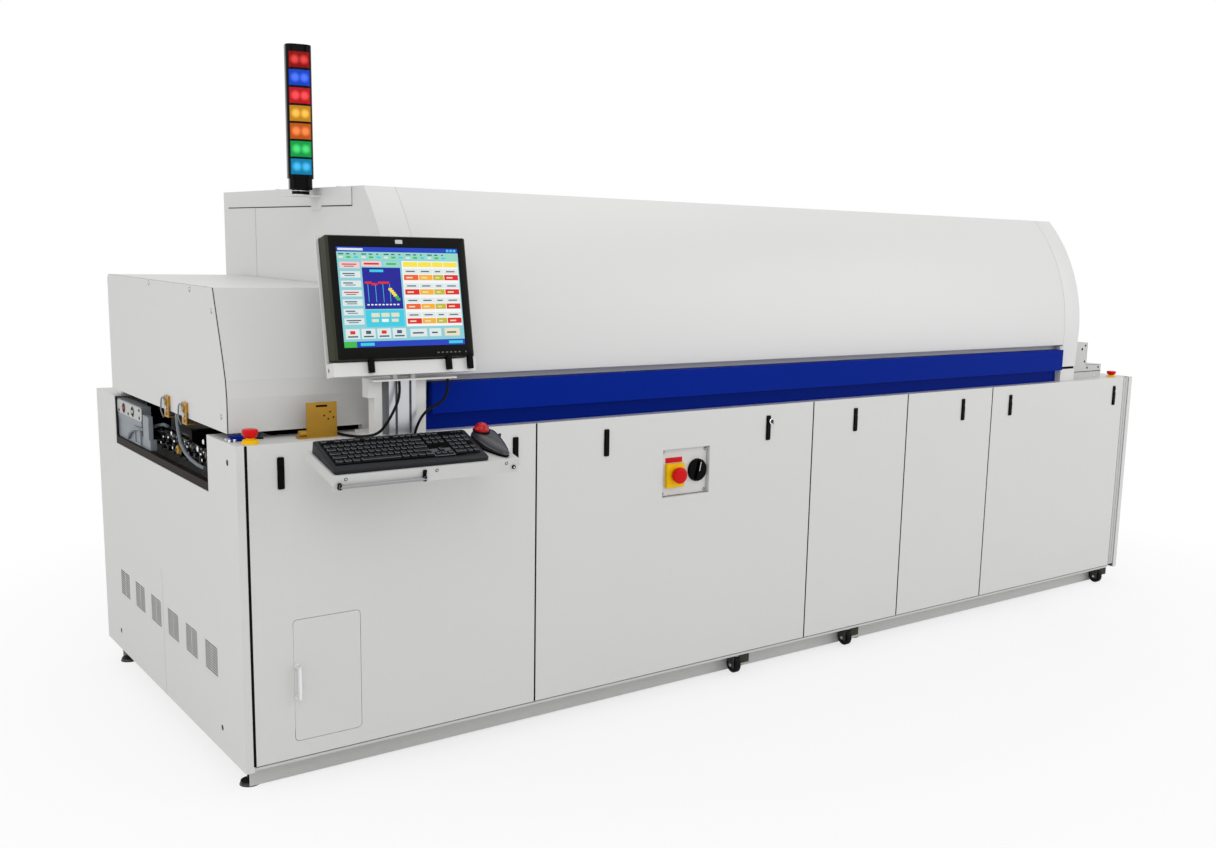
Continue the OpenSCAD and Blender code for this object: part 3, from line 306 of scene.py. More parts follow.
@dataclass(frozen=True)
class Finish:
    """One surface finish and the sizes of its detail."""

    colour: Colour
    rough: float = 0.45
    metal: float = 0.0
    grain: float = 500.0
    relief: float = 0.00003
    stretch: tuple[float, float, float] = (1.0, 1.0, 1.0)
    drift: float = 0.04
    drift_scale: float = 1.6
    spread: float = 0.06
    dust: float = 0.0
    wear: float = 0.0
    wear_colour: Colour = (0.5, 0.5, 0.5)
    coat: float = 0.0
    glow: float = 0.0
    shine: float = 0.5

    def build(self, name: str, groups: EffectGroups) -> bpy.types.Material:
        """Builds the material.

        Args:
            name: the material's name.
            groups: the shared effects.

        Returns:
            The material.
        """
        material = bpy.data.materials.new(name)
        material.use_nodes = True
        graph = Graph(material.node_tree)
        shader = graph.tree.nodes["Principled BSDF"]
        for label, value in (("Metallic", self.metal), ("Coat Weight", self.coat),
                             ("Coat Roughness", 0.08), ("Specular IOR Level", self.shine)):
            shader.inputs[label].default_value = value
        coords = graph.add("TexCoord", "Object")
        light = [min(1.0, c * (1 + self.drift)) for c in self.colour]
        deep = [c * (1 - self.drift) for c in self.colour]
        colour = graph.add("Group", "Color", {"Vector": coords},
                           {"Light": (*light, 1), "Deep": (*deep, 1), "Scale": self.drift_scale},
                           node_tree=groups.drift)
        height = graph.add("Group", "Height", {"Vector": coords},
                           {"Scale": self.grain, "Stretch": self.stretch,
                            "Low": max(0.02, self.rough - self.spread),
                            "High": min(1.0, self.rough + self.spread)}, node_tree=groups.grain)
        bump = graph.add("Bump", "Normal", {"Height": height},
                         {"Distance": self.relief, "Strength": 0.6})
        for group, amount, over in ((groups.wear, self.wear, self.wear_colour),
                                    (groups.dust, self.dust, tint(190, 184, 172))):
            if amount > 0:
                mask = graph.add("Group", "Mask", {"Vector": coords}, {"Amount": amount},
                                 node_tree=group)
                colour = graph.add("Mix", 2, {"Factor": mask, 6: colour}, {7: (*over, 1)},
                                   data_type="RGBA")
        wires = {"Normal": bump, "Roughness": height.node.outputs["Roughness"],
                 "Base Color": colour}
        if self.glow > 0:
            wires["Emission Color"] = colour
            shader.inputs["Emission Strength"].default_value = self.glow
        graph.feed(shader, wires)
        return material


class Coat(Enum):
    """Every finish on the oven."""

    CABINET = Finish(tint(207, 207, 205), 0.42, grain=420, relief=0.00004, drift=0.015, dust=0.05,
                     wear=0.1, wear_colour=tint(228, 228, 226))
    HOOD = Finish(tint(212, 212, 211), 0.4, grain=420, relief=0.00004, drift=0.012, dust=0.05)
    FRAME = Finish(tint(196, 196, 194), 0.5, drift=0.05, dust=0.15, wear=0.2)
    COVER = Finish(tint(190, 190, 188), 0.45, drift=0.03, dust=0.1)
    SOCKET_FACE = Finish(tint(184, 185, 181), 0.45, drift=0.03)
    BLUE = Finish(tint(1, 32, 132), 0.45, grain=420, relief=0.00004, drift=0.06, shine=0.03,
                  wear=0.1, wear_colour=tint(20, 56, 150))
    SHEET_METAL = Finish(tint(176, 178, 180), 0.4, metal=0.9, grain=900, stretch=(0.05, 1, 1))
    ALUMINIUM = Finish(tint(196, 198, 202), 0.34, metal=0.95, grain=900, stretch=(1, 1, 0.04),
                       wear=0.2)
    STEEL = Finish(tint(186, 187, 190), 0.28, metal=1.0, grain=900, stretch=(1, 0.05, 1))
    DARK_STEEL = Finish(tint(26, 26, 28), 0.42, metal=0.5, grain=700, drift=0.2, wear=0.4,
                        shine=0.2)
    OILED = Finish(tint(9, 9, 10), 0.2, grain=700, relief=0.00006, drift=0.3, shine=0.25)
    CHROME = Finish(tint(226, 227, 230), 0.12, metal=1.0, drift=0.01, spread=0.03)
    RUBBER = Finish(tint(14, 14, 15), 0.62, grain=900, relief=0.00006, drift=0.12, dust=0.15,
                    shine=0.1)
    LIP = Finish(tint(24, 15, 9), 0.5, grain=700, drift=0.2, shine=0.06)
    DUCT = Finish(tint(124, 132, 140), 0.45, drift=0.06, dust=0.15, wear=0.2)
    BRASS = Finish(tint(172, 128, 34), 0.38, metal=0.45, grain=800, drift=0.2, drift_scale=14)
    YELLOW = Finish(tint(240, 190, 6), 0.38, grain=800, drift=0.05, shine=0.12)
    RED = Finish(tint(204, 4, 10), 0.3, grain=900, relief=0.00002, drift=0.06, coat=0.06,
                 shine=0.12)
    BLACK = Finish(tint(7, 7, 8), 0.42, grain=1100, relief=0.00005, drift=0.15, shine=0.06)
    GLOSS_BLACK = Finish(tint(4, 4, 5), 0.2, grain=900, relief=0.00001, drift=0.1, shine=0.06)
    BEZEL = Finish(tint(12, 12, 11), 0.42, grain=1300, relief=0.00006, drift=0.1, shine=0.08)
    HOUSING = Finish(tint(52, 54, 42), 0.5, grain=1300, relief=0.00006, drift=0.12, shine=0.12)
    KEY = Finish(tint(16, 16, 18), 0.45, grain=1500, relief=0.00005, drift=0.12, shine=0.12)
    KEY_BASE = Finish(tint(28, 29, 33), 0.4, grain=1500, relief=0.00005, drift=0.12, shine=0.15)
    GREY_PLASTIC = Finish(tint(74, 76, 80), 0.5, grain=1200, drift=0.06)
    WHITE = Finish(tint(216, 216, 214), 0.4, grain=450, relief=0.00003, drift=0.015, dust=0.06)
    MOUSE = Finish(tint(36, 36, 40), 0.22, grain=1300, relief=0.00002, drift=0.12, coat=0.2,
                   shine=0.35)
    BALL = Finish(tint(176, 2, 12), 0.1, grain=900, relief=0.000004, drift=0.1, coat=0.3,
                  shine=0.15)
    CABLE = Finish(tint(6, 6, 7), 0.45, grain=1200, relief=0.00003, drift=0.15, shine=0.1)
    GREY_CABLE = Finish(tint(118, 126, 132), 0.45, grain=1200, relief=0.00003, drift=0.1)
    SEAM = Finish(tint(40, 40, 42), 0.7, drift=0.1, shine=0.1)
    # Painted shade: the dark sheet and blocks in the vent slots.
    VENT_SHADE = Finish(tint(10, 13, 20), 0.6, grain=900, relief=0.0001, drift=0.2, shine=0.08)
    # Black of the hood gasket, also used as painted shade in the door gaps, at the left corner and
    # below the hood's right end cap.
    GASKET_AND_SHADE = Finish(tint(10, 10, 11), 0.7, grain=900, relief=0.0001, drift=0.2, shine=0.06)
    # Painted highlight: key tops and their rims are lighter than the key sides.
    KEY_TOP_LIT = Finish(tint(50, 52, 56), 0.4, grain=1500, relief=0.00004, drift=0.12, shine=0.3)
    KEY_EDGE_HIGHLIGHT = Finish(tint(112, 114, 119), 0.35, grain=1500, relief=0.00002, drift=0.1)
    # Painted shade: dark sheets between the keys and in the brass plate's slot and holes.
    SHADE_WELL = Finish(tint(5, 5, 6), 0.6, grain=900, relief=0.00004, drift=0.1, shine=0.03)
    # Painted shade: near black on the conveyor parts so the notch interior reads dark.
    INTERIOR_SHADE = Finish(tint(9, 9, 10), 0.55, grain=900, relief=0.00005, drift=0.2, shine=0.05)
    ROD = Finish(tint(150, 151, 154), 0.3, metal=0.8, grain=900, stretch=(0.05, 1, 1))
    TRAY = Finish(tint(200, 200, 198), 0.4, grain=420, relief=0.00003, drift=0.02, dust=0.08)
    HANDLE = Finish(tint(232, 233, 234), 0.3, grain=500, relief=0.00002, drift=0.02)
    POST = Finish(tint(186, 186, 185), 0.5, drift=0.04, dust=0.1)


class Field(Enum):
    """Colours of the fields on the operator's screen."""

    GROUND = tint(140, 205, 214)
    TITLE = tint(24, 62, 190)
    MENU = tint(150, 216, 200)
    BUTTON = tint(222, 232, 232)
    PINK = tint(238, 206, 204)
    CYAN = tint(60, 204, 228)
    CHART = tint(20, 24, 150)
    INK = tint(60, 90, 110)
    YELLOW = tint(248, 226, 70)
    BEIGE = tint(232, 224, 190)
    SCARLET = tint(222, 36, 28)
    ORANGE = tint(238, 96, 36)
    AMBER = tint(246, 176, 46)
    OLIVE = tint(196, 184, 44)
    GREEN = tint(60, 184, 74)
    WHITE = tint(244, 246, 246)


Patch = tuple[int, float, float, float, float, Field]


class Paintbox:
    """Builds each finish once and hands it out."""

    unlit_share = 0.12
    screen_glow = 7.2

    def __init__(self) -> None:
        """Starts with the shared effects and no materials."""
        self.groups = EffectGroups()
        self.made: dict[str, bpy.types.Material] = {}

    def coat(self, coat: Coat) -> bpy.types.Material:
        """Returns the material of a named finish."""
        return self.finish(coat.name.lower(), coat.value)

    def finish(self, name: str, finish: Finish) -> bpy.types.Material:
        """Returns the material of any finish under the given name."""
        if name not in self.made:
            self.made[name] = finish.build(name, self.groups)
        return self.made[name]

    def any(self, coat: object) -> bpy.types.Material:
        """Returns the material of a finish, of a field on the screen, or of a made material."""
        if isinstance(coat, Coat):
            return self.coat(coat)
        if isinstance(coat, Field):
            unlit = tuple(c * self.unlit_share for c in coat.value)
            lit = Finish(unlit, 0.3, grain=1800, relief=0.000002, drift=0.02, spread=0.02,
                         shine=0.25, glow=self.screen_glow)
            return self.finish("screen_" + coat.name.lower(), lit)
        return coat

    def lamp(self, name: str, hue: Colour, spots: Sequence[Vector],
             level: float) -> bpy.types.Material:
        """Builds a lit lens with a bright spot in front of each light source.

        Args:
            name: the material's name.
            hue: the lens's colour.
            spots: the places of the sources, in metres of the shared frame.
            level: how brightly the lens glows between its spots.

        Returns:
            The material.
        """
        base = Finish(tuple(c * 0.18 for c in hue), 0.25, grain=1400, relief=0.00004, drift=0.1,
                      shine=0.06)
        material = base.build(name, self.groups)
        graph = Graph(material.node_tree)
        coords = graph.add("TexCoord", "Object")
        near = []
        for spot in spots:
            distance = graph.add("VectorMath", "Value", {0: coords}, {1: spot},
                                 operation="DISTANCE")
            near.append(graph.add("MapRange", "Result", {"Value": distance},
                                  {"From Min": 0.003, "From Max": 0.019, "To Min": 1.0,
                                   "To Max": 0.0}, interpolation_type="SMOOTHSTEP"))
        dim = [c * level for c in hue]
        bright = [min(1.0, (c * 1.1 + 0.07) * (level + 0.6)) for c in hue]
        glow = graph.add("Mix", 2, {"Factor": graph.fold("MAXIMUM", *near)},
                         {6: (*dim, 1), 7: (*bright, 1)}, data_type="RGBA")
        shader = graph.tree.nodes["Principled BSDF"]
        graph.feed(shader, {"Emission Color": glow})
        shader.inputs["Emission Strength"].default_value = 1.0
        return material


# ---- mesh workshop --------------------------------------------------------------------


class Maker:
    """Collects solids in millimetres of the working frame and joins them into one piece."""

    def __init__(self, name: str, frame: Optional[Matrix] = None) -> None:
        """Starts an empty piece.

        Args:
            name: the piece's name.
            frame: a local frame that the solids are given in, in working millimetres.
        """
        self.name = name
        self.frame = frame or Matrix.Identity(4)
        self.bm = bmesh.new()
        self.coats: list[object] = []

    def _slot(self, coat: object) -> int:
        """Returns the slot number of a finish, adding it if it is new."""
        if coat not in self.coats:
            self.coats.append(coat)
        return self.coats.index(coat)

    def _take(self, part: bmesh.types.BMesh, coat: object) -> None:
        """Moves a finished solid into the piece."""
        slot = self._slot(coat)
        for face in part.faces:
            face.material_index = slot
        bmesh.ops.recalc_face_normals(part, faces=part.faces)
        part.transform(self.frame)
        mesh = bpy.data.meshes.new("part")
        part.to_mesh(mesh)
        part.free()
        self.bm.from_mesh(mesh)
        bpy.data.meshes.remove(mesh)

    @staticmethod
    def _skin(part: bmesh.types.BMesh, rings: Sequence[Sequence[bmesh.types.BMVert]],
              first: bool = True, last: bool = True) -> None:
        """Joins rings of corners with faces.

        Args:
            part: the solid.
            rings: the rings; a ring of one corner is a point on the axis.
            first: whether the first ring is closed by a face.
            last: whether the last ring is closed by a face.
        """
        count = max(len(ring) for ring in rings)
        for low, high in zip(rings, rings[1:]):
            for k in range(count):
                n = (k + 1) % count
                corners = [low[k % len(low)], low[n % len(low)], high[n % len(high)],
                           high[k % len(high)]]
                distinct = list(dict.fromkeys(corners))
                if len(distinct) > 2:
                    part.faces.new(distinct)
        for ring, closed in ((rings[0], first), (rings[-1], last)):
            if closed and len(ring) > 2:
                part.faces.new(ring)

    def box(self, x: Point, y: Point, z: Point, coat: object, edge: float = 0.0,
            turn: Optional[Matrix] = None, taper: float = 1.0) -> "Maker":
        """Adds a block with rounded edges.

        Args:
            x: the low and high X.
            y: the low and high Y.
            z: the low and high Z.
            coat: the finish.
            edge: the radius of its edges.
            turn: a turn about the block's middle.
            taper: the size of the top as a share of the base.

        Returns:
            This piece.
        """
        part = bmesh.new()
        bmesh.ops.create_cube(part, size=1.0)
        for vertex in part.verts:
            if vertex.co.z > 0:
                vertex.co.x *= taper
                vertex.co.y *= taper
        middle = Vector([(a[0] + a[1]) / 2 for a in (x, y, z)])
        part.transform(Matrix.Diagonal([a[1] - a[0] for a in (x, y, z)]).to_4x4())
        self._round(part, edge)
        part.transform(Matrix.Translation(middle) @ (turn or Matrix.Identity(4)))
        self._take(part, coat)
        return self

    @staticmethod
    def _round(part: bmesh.types.BMesh, edge: float, steps: int = 2) -> None:
        """Rounds every sharp edge of a solid."""
        if edge > 0:
            sharp = [e for e in part.edges if e.calc_face_angle(0) > SMOOTH_ANGLE]
            bmesh.ops.bevel(part, geom=sharp, offset=edge, segments=steps, profile=0.7,
                            affect="EDGES", clamp_overlap=True)

    def lathe(self, start: Point, axis: Point, profile: Sequence[Point], coat: object,
              sides: int = 40) -> "Maker":
        """Adds a turned solid.

        Args:
            start: the point on the axis where heights count from.
            axis: the direction of the axis.
            profile: radius and height pairs, from one end to the other.
            coat: the finish.
            sides: facets round the axis.

        Returns:
            This piece.
        """
        part = bmesh.new()
        rings = []
        for radius, height in profile:
            ring = [(0.0, 0.0)] if radius < ON_AXIS else circle(sides)
            rings.append([part.verts.new((radius * c, radius * s, height)) for c, s in ring])
        self._skin(part, rings)
        turn = Vector(axis).to_track_quat("Z", "Y").to_matrix().to_4x4()
        part.transform(Matrix.Translation(Vector(start)) @ turn)
        self._take(part, coat)
        return self

    def rod(self, start: Point, axis: Point, radius: float, length: float, coat: object,
            edge: float = 0.0, sides: int = 32) -> "Maker":
        """Adds a round rod with chamfered ends."""
        edge = min(edge, radius * 0.4, length * 0.4)
        profile = [(radius, 0), (radius, length)]
        if edge > 0:
            profile = [(radius - edge, 0), (radius, edge), (radius, length - edge),
                       (radius - edge, length)]
        return self.lathe(start, axis, profile, coat, sides)

    def screw(self, place: Point, axis: Point, coat: object, radius: float = 6.0) -> "Maker":
        """Adds a low button-head screw with a socket."""
        head = [(0, -0.5), (radius, -0.5), (radius, 0.4), (radius * 0.86, 1.6),
                (radius * 0.5, 2.4), (radius * 0.46, 2.3), (radius * 0.4, 0.9), (0, 0.9)]
        ring = [(radius - 1, 0), (radius + 1.6, 0), (radius + 1.6, 0.15), (radius - 1, 0.2)]
        self.lathe(place, axis, ring, Coat.SEAM, 24)
        return self.lathe(place, axis, head, coat, 24)

    def slab(self, outline: Sequence[Point], depth: float, coat: object, edge: float = 0.0,
             frame: Optional[Matrix] = None) -> "Maker":
        """Adds a plate with any outline.

        Args:
            outline: points in the plate's own X-Y plane.
            depth: its thickness along +Z.
            coat: the finish.
            edge: the radius of its edges.
            frame: the plate's place.

        Returns:
            This piece.
        """
        part = bmesh.new()
        face = part.faces.new([part.verts.new((p[0], p[1], 0)) for p in outline])
        made = bmesh.ops.extrude_face_region(part, geom=[face])["geom"]
        for item in made:
            if isinstance(item, bmesh.types.BMVert):
                item.co.z += depth
        self._round(part, edge)
        part.transform(frame or Matrix.Identity(4))
        self._take(part, coat)
        return self

    def tube(self, points: Sequence[Point], radius: float, coat: object,
             sides: int = 12) -> "Maker":
        """Adds a smooth round tube along points."""
        part = bmesh.new()
        line = smooth_line(points, 4)
        side = Vector(UP) if abs((line[1] - line[0]).normalized().z) < 0.9 else Vector(RIGHT)
        rings = []
        for i, place in enumerate(line):
            ahead = (line[min(i + 1, len(line) - 1)] - line[max(i - 1, 0)]).normalized()
            side = (side - ahead * side.dot(ahead)).normalized()
            across = ahead.cross(side)
            rings.append([part.verts.new(place + radius * (c * side + s * across))
                          for c, s in circle(sides)])
        self._skin(part, rings)
        self._take(part, coat)
        return self

    def loft(self, sections: Sequence[Sequence[Vector]], coat: object, first: bool = True,
             last: bool = True) -> "Maker":
        """Adds a shell through rings of points.

        Args:
            sections: the rings, each with the same number of points.
            coat: the finish.
            first: whether the first ring is closed by a face.
            last: whether the last ring is closed by a face.

        Returns:
            This piece.
        """
        part = bmesh.new()
        rings = [[part.verts.new(p) for p in ring] for ring in sections]
        self._skin(part, rings, first, last)
        self._take(part, coat)
        return self

    def quad(self, corners: Sequence[Point], coat: object) -> "Maker":
        """Adds one flat face."""
        slot = self._slot(coat)
        face = self.bm.faces.new([self.bm.verts.new(self.frame @ Vector(c)) for c in corners])
        face.material_index = slot
        return self

    def done(self, shop: "Workshop", body: str,
             replaces: Iterable[str] = ()) -> bpy.types.Object:
        """Turns the solids into one piece that rides on a body.

        Args:
            shop: the workshop that knows the frame and the finishes.
            body: the body that it rides on.
            replaces: the CAD nodes that it stands for.

        Returns:
            The piece.
        """
        self.bm.transform(shop.datum.matrix())
        for face in self.bm.faces:
            face.smooth = True
        for line in self.bm.edges:
            line.smooth = line.calc_face_angle(0) < SMOOTH_ANGLE
        mesh = bpy.data.meshes.new(self.name)
        self.bm.to_mesh(mesh)
        self.bm.free()
        piece = put(self.name, mesh)
        for coat in self.coats:
            mesh.materials.append(shop.paint.any(coat))
        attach(piece, body)
        nodes = list(replaces)
        if nodes:
            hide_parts(*nodes)
        LOG.info("%s: %d faces on %s", self.name, len(mesh.polygons), body)
        return piece


def smooth_line(points: Sequence[Point], steps: int) -> list[Vector]:
    """Runs a smooth line through points.

    Args:
        points: the points that it passes.
        steps: stretches between two points.

    Returns:
        The points of the line.
    """
    p = [Vector(q) for q in points]
    line = []
    for i in range(len(p) - 1):
        before, a, b, after = p[max(i - 1, 0)], p[i], p[i + 1], p[min(i + 2, len(p) - 1)]
        for k in range(steps):
            t = k / steps
            line.append(0.5 * (2 * a + (b - before) * t
                               + (2 * before - 5 * a + 4 * b - after) * t * t
                               + (3 * a - before - 3 * b + after) * t ** 3))
    line.append(p[-1])
    return line


def round_rect(x0: float, y0: float, x1: float, y1: float, radius: float,
               steps: int = 6) -> list[tuple[float, float]]:
    """Returns the outline of a rectangle with round corners.

    Args:
        x0: the left side.
        y0: the lower side.
        x1: the right side.
        y1: the upper side.
        radius: the corner radius.
        steps: stretches in each corner.

    Returns:
        The points, counter-clockwise.
    """
    centres = [(x1 - radius, y1 - radius), (x0 + radius, y1 - radius),
               (x0 + radius, y0 + radius), (x1 - radius, y0 + radius)]
    points = []
    for quarter, (cx, cy) in enumerate(centres):
        for k in range(steps + 1):
            angle = math.pi / 2 * (quarter + k / steps)
            points.append((cx + radius * math.cos(angle), cy + radius * math.sin(angle)))
    return points


def upright(x: float, y: float, z: float) -> Matrix:
    """Returns a frame whose X-Y plane stands in X-Z and whose +Z looks to the front."""
    return Matrix.Translation((x, y, z)) @ Matrix.Rotation(math.pi / 2, 4, "X")


@dataclass
class Workshop:
    """What every sub-assembly needs: the frame, the datum and the finishes."""

    frame: dict
    datum: Datum
    paint: Paintbox

    def dress(self, names: Iterable[str], coat: Coat, edge: float = 0.0) -> None:
        """Gives CAD nodes a finish and, where asked, softened edges.

        Args:
            names: the nodes.
            coat: the finish.
            edge: the radius of the edges in millimetres, or 0 to keep them.
        """
        for name in names:
            node = self.frame["nodes"][name]
            node.data.materials.clear()
            node.data.materials.append(self.paint.coat(coat))
            if edge > 0:
                self.soften(node, edge)
            LOG.info("%s: dressed as %s", name, coat.name)

    @staticmethod
    def soften(node: bpy.types.Object, edge: float) -> None:
        """Rounds a node's sharp edges with modifiers, and leaves its mesh as it is."""
        weld = node.modifiers.new("weld", "WELD")
        weld.merge_threshold = WELD
        bevel = node.modifiers.new("soft_edges", "BEVEL")
        bevel.width = edge * MM
        bevel.segments = 2
        bevel.limit_method = "ANGLE"
        bevel.angle_limit = math.radians(40)
        bevel.harden_normals = False
        bevel.use_clamp_overlap = True

    def clone(self, name: str, node: str, coat: Coat, body: str,
              edge: float = 0.0) -> bpy.types.Object:
        """Makes a smooth-shaded copy of a CAD node that stands for it.

        Args:
            name: the copy's name.
            node: the CAD node.
            coat: the finish.
            body: the body that it rides on.
            edge: the radius of the edges in millimetres.

        Returns:
            The piece.
        """
        mesh = self.frame["nodes"][node].data.copy()
        bm = bmesh.new()
        bm.from_mesh(mesh)
        bmesh.ops.remove_doubles(bm, verts=bm.verts, dist=WELD)
        bmesh.ops.dissolve_limit(bm, angle_limit=math.radians(0.3), verts=bm.verts,
                                 edges=bm.edges)
        if edge > 0:
            sharp = [e for e in bm.edges if e.calc_face_angle(0) > CREASE]
            bmesh.ops.bevel(bm, geom=sharp, offset=edge * MM, segments=2, profile=0.7,
                            affect="EDGES", clamp_overlap=True)
        for face in bm.faces:
            face.smooth = True
        for line in bm.edges:
            line.smooth = line.calc_face_angle(0) < CREASE
        bm.to_mesh(mesh)
        bm.free()
        if "custom_normal" in mesh.attributes:
            mesh.attributes.remove(mesh.attributes["custom_normal"])
        mesh.materials.clear()
        mesh.materials.append(self.paint.coat(coat))
        piece = put(name, mesh)
        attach(piece, body)
        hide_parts(node)
        LOG.info("%s: smooth copy of %s", name, node)
        return piece


# ---- cords --------------------------------------------------------------------------------


@dataclass
class Cords:
    """The free leads under the monitor and behind the trackball."""

    video_lead: tuple = (
        (446, -70, 1180), (446, -72, 1166), (444, -76, 1149), (439, -80, 1130), (431, -82, 1111),
        (421, -82, 1092), (410, -80, 1072), (399, -76, 1054), (388, -69, 1038), (375, -56, 1027),
        (359, -37, 1021), (342, -14, 1018), (329, 12, 1018), (321, 40, 1018), (318, 70, 1018),
        (318, 100, 1018), (318, 130, 1018))
    power_lead: tuple = (
        (600, -70, 1180), (600, -71, 1163), (598, -72, 1147), (592, -74, 1131), (580, -76, 1116),
        (562, -78, 1105), (542, -80, 1097), (524, -82, 1087), (510, -83, 1073), (501, -82, 1058),
        (496, -79, 1044), (493, -76, 1032), (492, -74, 1021.2))
    ball_lead: tuple = (
        (709, -169, 1014.5), (715, -166, 1016), (723, -160, 1017),
        (730, -152, 1015), (734, -144, 1009), (736, -137, 1000), (735, -132, 990),
        (731, -130, 980), (725, -132, 973), (719, -137, 970), (715, -143, 972), (714, -149, 977))
    video_d: float = 8.0
    thin_d: float = 5.0

    def build(self, shop: Workshop) -> None:
        """Lays the three leads along their routes."""
        self._lay(shop, "video_lead", self.video_lead, self.video_d, "monitor_cable_a", "cabinet")
        self._lay(shop, "power_lead", self.power_lead, self.video_d, "monitor_cable_b", "cabinet")
        self._lay(shop, "ball_lead", self.ball_lead, self.thin_d, "trackball_cable", "tray")

    @staticmethod
    def _lay(shop: Workshop, name: str, route: Sequence[Point], diameter: float, node: str,
             body: str) -> None:
        """Args:
            shop: the workshop.
            name: the piece's name.
            route: the points that it follows, in working millimetres.
            diameter: its diameter in millimetres.
            node: the CAD node that it stands for.
            body: the body that it rides on.
        """
        line = smooth_line([shop.datum.at(*p) for p in route], 3)
        data = bpy.data.curves.new(name, "CURVE")
        data.dimensions = "3D"
        spline = data.splines.new("POLY")
        spline.points.add(len(line) - 1)
        for point, place in zip(spline.points, line):
            point.co = (*place, 1)
        data.bevel_depth = diameter / 2 * MM
        data.bevel_resolution = 4
        data.use_fill_caps = True
        piece = put(name, data)
        data.materials.append(shop.paint.coat(Coat.CABLE))
        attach(piece, body)
        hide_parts(node)


# ---- sub-assemblies -----------------------------------------------------------------------


@dataclass
class Cabinet:
    """Panels, deck, base and their screws."""

    length: float = 4300.0
    depth: float = 1500.0
    leaf_z: tuple = (91, 1012)
    post_z: tuple = (92, 1011)
    panel_screws: tuple = ((74, 958), (196, 149), (1311, 146))
    plate_screws: tuple = ((811, 1420), (394, 1418), (205, 1366), (150, 1075))
    caster_x: tuple = (1845.0, 2437.0, 4184.0)
    caster_in: float = 34.0
    caster_tops: tuple = (78.0, 86.0)
    vent_rows: int = 11
    vent_row_z: float = 297.05
    vent_row_pitch: float = 8.2
    vent_groups: tuple = (6, 276, 189)
    handle: tuple = (154.5, 266.0, 370.0)
    entry_line: tuple = ((107, 1033), (107, 1130), (113, 1180), (130, 1238), (197, 1431),
                         (1306, 1431), (1320, 1417))
    bumpers: tuple = (434, 952)
    end_holes: tuple = (140, 260, 380)
    plug: tuple = (4080, 70, 1013)
    wheel_r: float = 31.0
    socket: tuple = ((7.2, -0.4), (8.8, -0.4), (8.8, 0.12), (7.2, 0.15))
    leaves: tuple = ((28.5, 948.0, "cabinet"), (951.0, 2169.0, "door_2"),
                     (2172.0, 2697.5, "door_3"), (2700.5, 3237.5, "door_4"),
                     (3240.5, 4230.0, "door_5"))

    def build(self, shop: Workshop) -> None:
        """Dresses the panels and adds screws, seams and casters."""
        shop.dress(["left_end_panel", "right_end_panel", "rear_panels", "deck", "tunnel_base",
                    "entry_cover", "entry_end_plate", "door_1", "access_door", "door_2",
                    "door_3", "door_4", "door_5", "switch_plate"], Coat.CABINET)
        shop.dress(["base_frame", "frame_posts"], Coat.FRAME)
        shop.dress(["exit_cover"], Coat.COVER)
        shop.dress(["levelling_feet"], Coat.DARK_STEEL)
        self._screws(shop)
        self._casters(shop)
        self._vent_slot_shade(shop)
        self._door_edges(shop)
        self._cover_details(shop)
        self._exit_fittings(shop)

    def _screws(self, shop: Workshop) -> None:
        """Adds the button-head screws of both end panels and the entry cover."""
        left = Maker("end_panel_screws")
        for y, z in self.panel_screws:
            left.screw((2.2, y, z), LEFT, Coat.STEEL, 7)
            left.screw((self.length - 2.2, y, z), RIGHT, Coat.STEEL, 7)
            left.lathe((0, y, z), LEFT, self.socket, Coat.SEAM, 28)
            left.lathe((self.length, y, z), RIGHT, self.socket, Coat.SEAM, 28)
        left.done(shop, "cabinet")
        cover = Maker("cover_screws")
        for y, z in self.plate_screws:
            cover.screw((12, y, z), LEFT, Coat.STEEL, 6)
        cover.done(shop, "cabinet")

    def _casters(self, shop: Workshop) -> None:
        """Builds the swivel casters with dark forks and black wheels."""
        piece = Maker("swivel_casters")
        for x in self.caster_x:
            rows = (self.caster_in, self.depth - self.caster_in)
            for y, top in zip(rows, self.caster_tops):
                axle = 3 + self.wheel_r
                piece.box((x - 32, x + 32), (y - 26, y + 26), (top - 4, top), Coat.DARK_STEEL, 1)
                piece.rod((x, y, top - 9), UP, 20, 6, Coat.STEEL, 1)
                piece.lathe((x - 12, y, axle), RIGHT,
                            [(0, 0), (self.wheel_r - 4, 0), (self.wheel_r, 4),
                             (self.wheel_r, 20), (self.wheel_r - 4, 24), (0, 24)], Coat.RUBBER)
                piece.rod((x - 20, y, axle), RIGHT, 6, 40, Coat.STEEL, 1)
                for side in (-17, 13.5):
                    piece.box((x + side, x + side + 3.5), (y - 17, y + 17), (axle - 9, top - 5),
                              Coat.DARK_STEEL, 1)
                piece.box((x + 18, x + 60), (y - 18, y + 14), (axle + 4, top - 8), Coat.HOUSING, 3)
        piece.done(shop, "cabinet", ["casters"])

    def _vent_slot_shade(self, shop: Workshop) -> None:
        """Adds painted shade in the vent slots of both end panels: a dark sheet behind them and
        dark blocks filling the openings.
        """
        piece = Maker("vent_slot_shade")
        count, first, step = self.vent_groups
        for middle in range(first, first + count * step, step):
            for x, lip in ((3.1, 0.5), (self.length - 4.1, self.length - 3.0)):
                # Painted shade: a dark sheet behind each group of slots.
                piece.box((x, x + 1), (middle - 59, middle + 59),
                          (293, 297 + self.vent_row_pitch * self.vent_rows),
                          Coat.VENT_SHADE, 0.2)
                # Painted shade: dark blocks fill each slot opening.
                for row in range(self.vent_rows):
                    low = self.vent_row_z + self.vent_row_pitch * row
                    for side in (-29, 29):
                        piece.box((lip, lip + 2.5), (middle + side - 26.4, middle + side + 26.4),
                                  (low, low + 4.5), Coat.VENT_SHADE, 0)
        piece.done(shop, "cabinet")

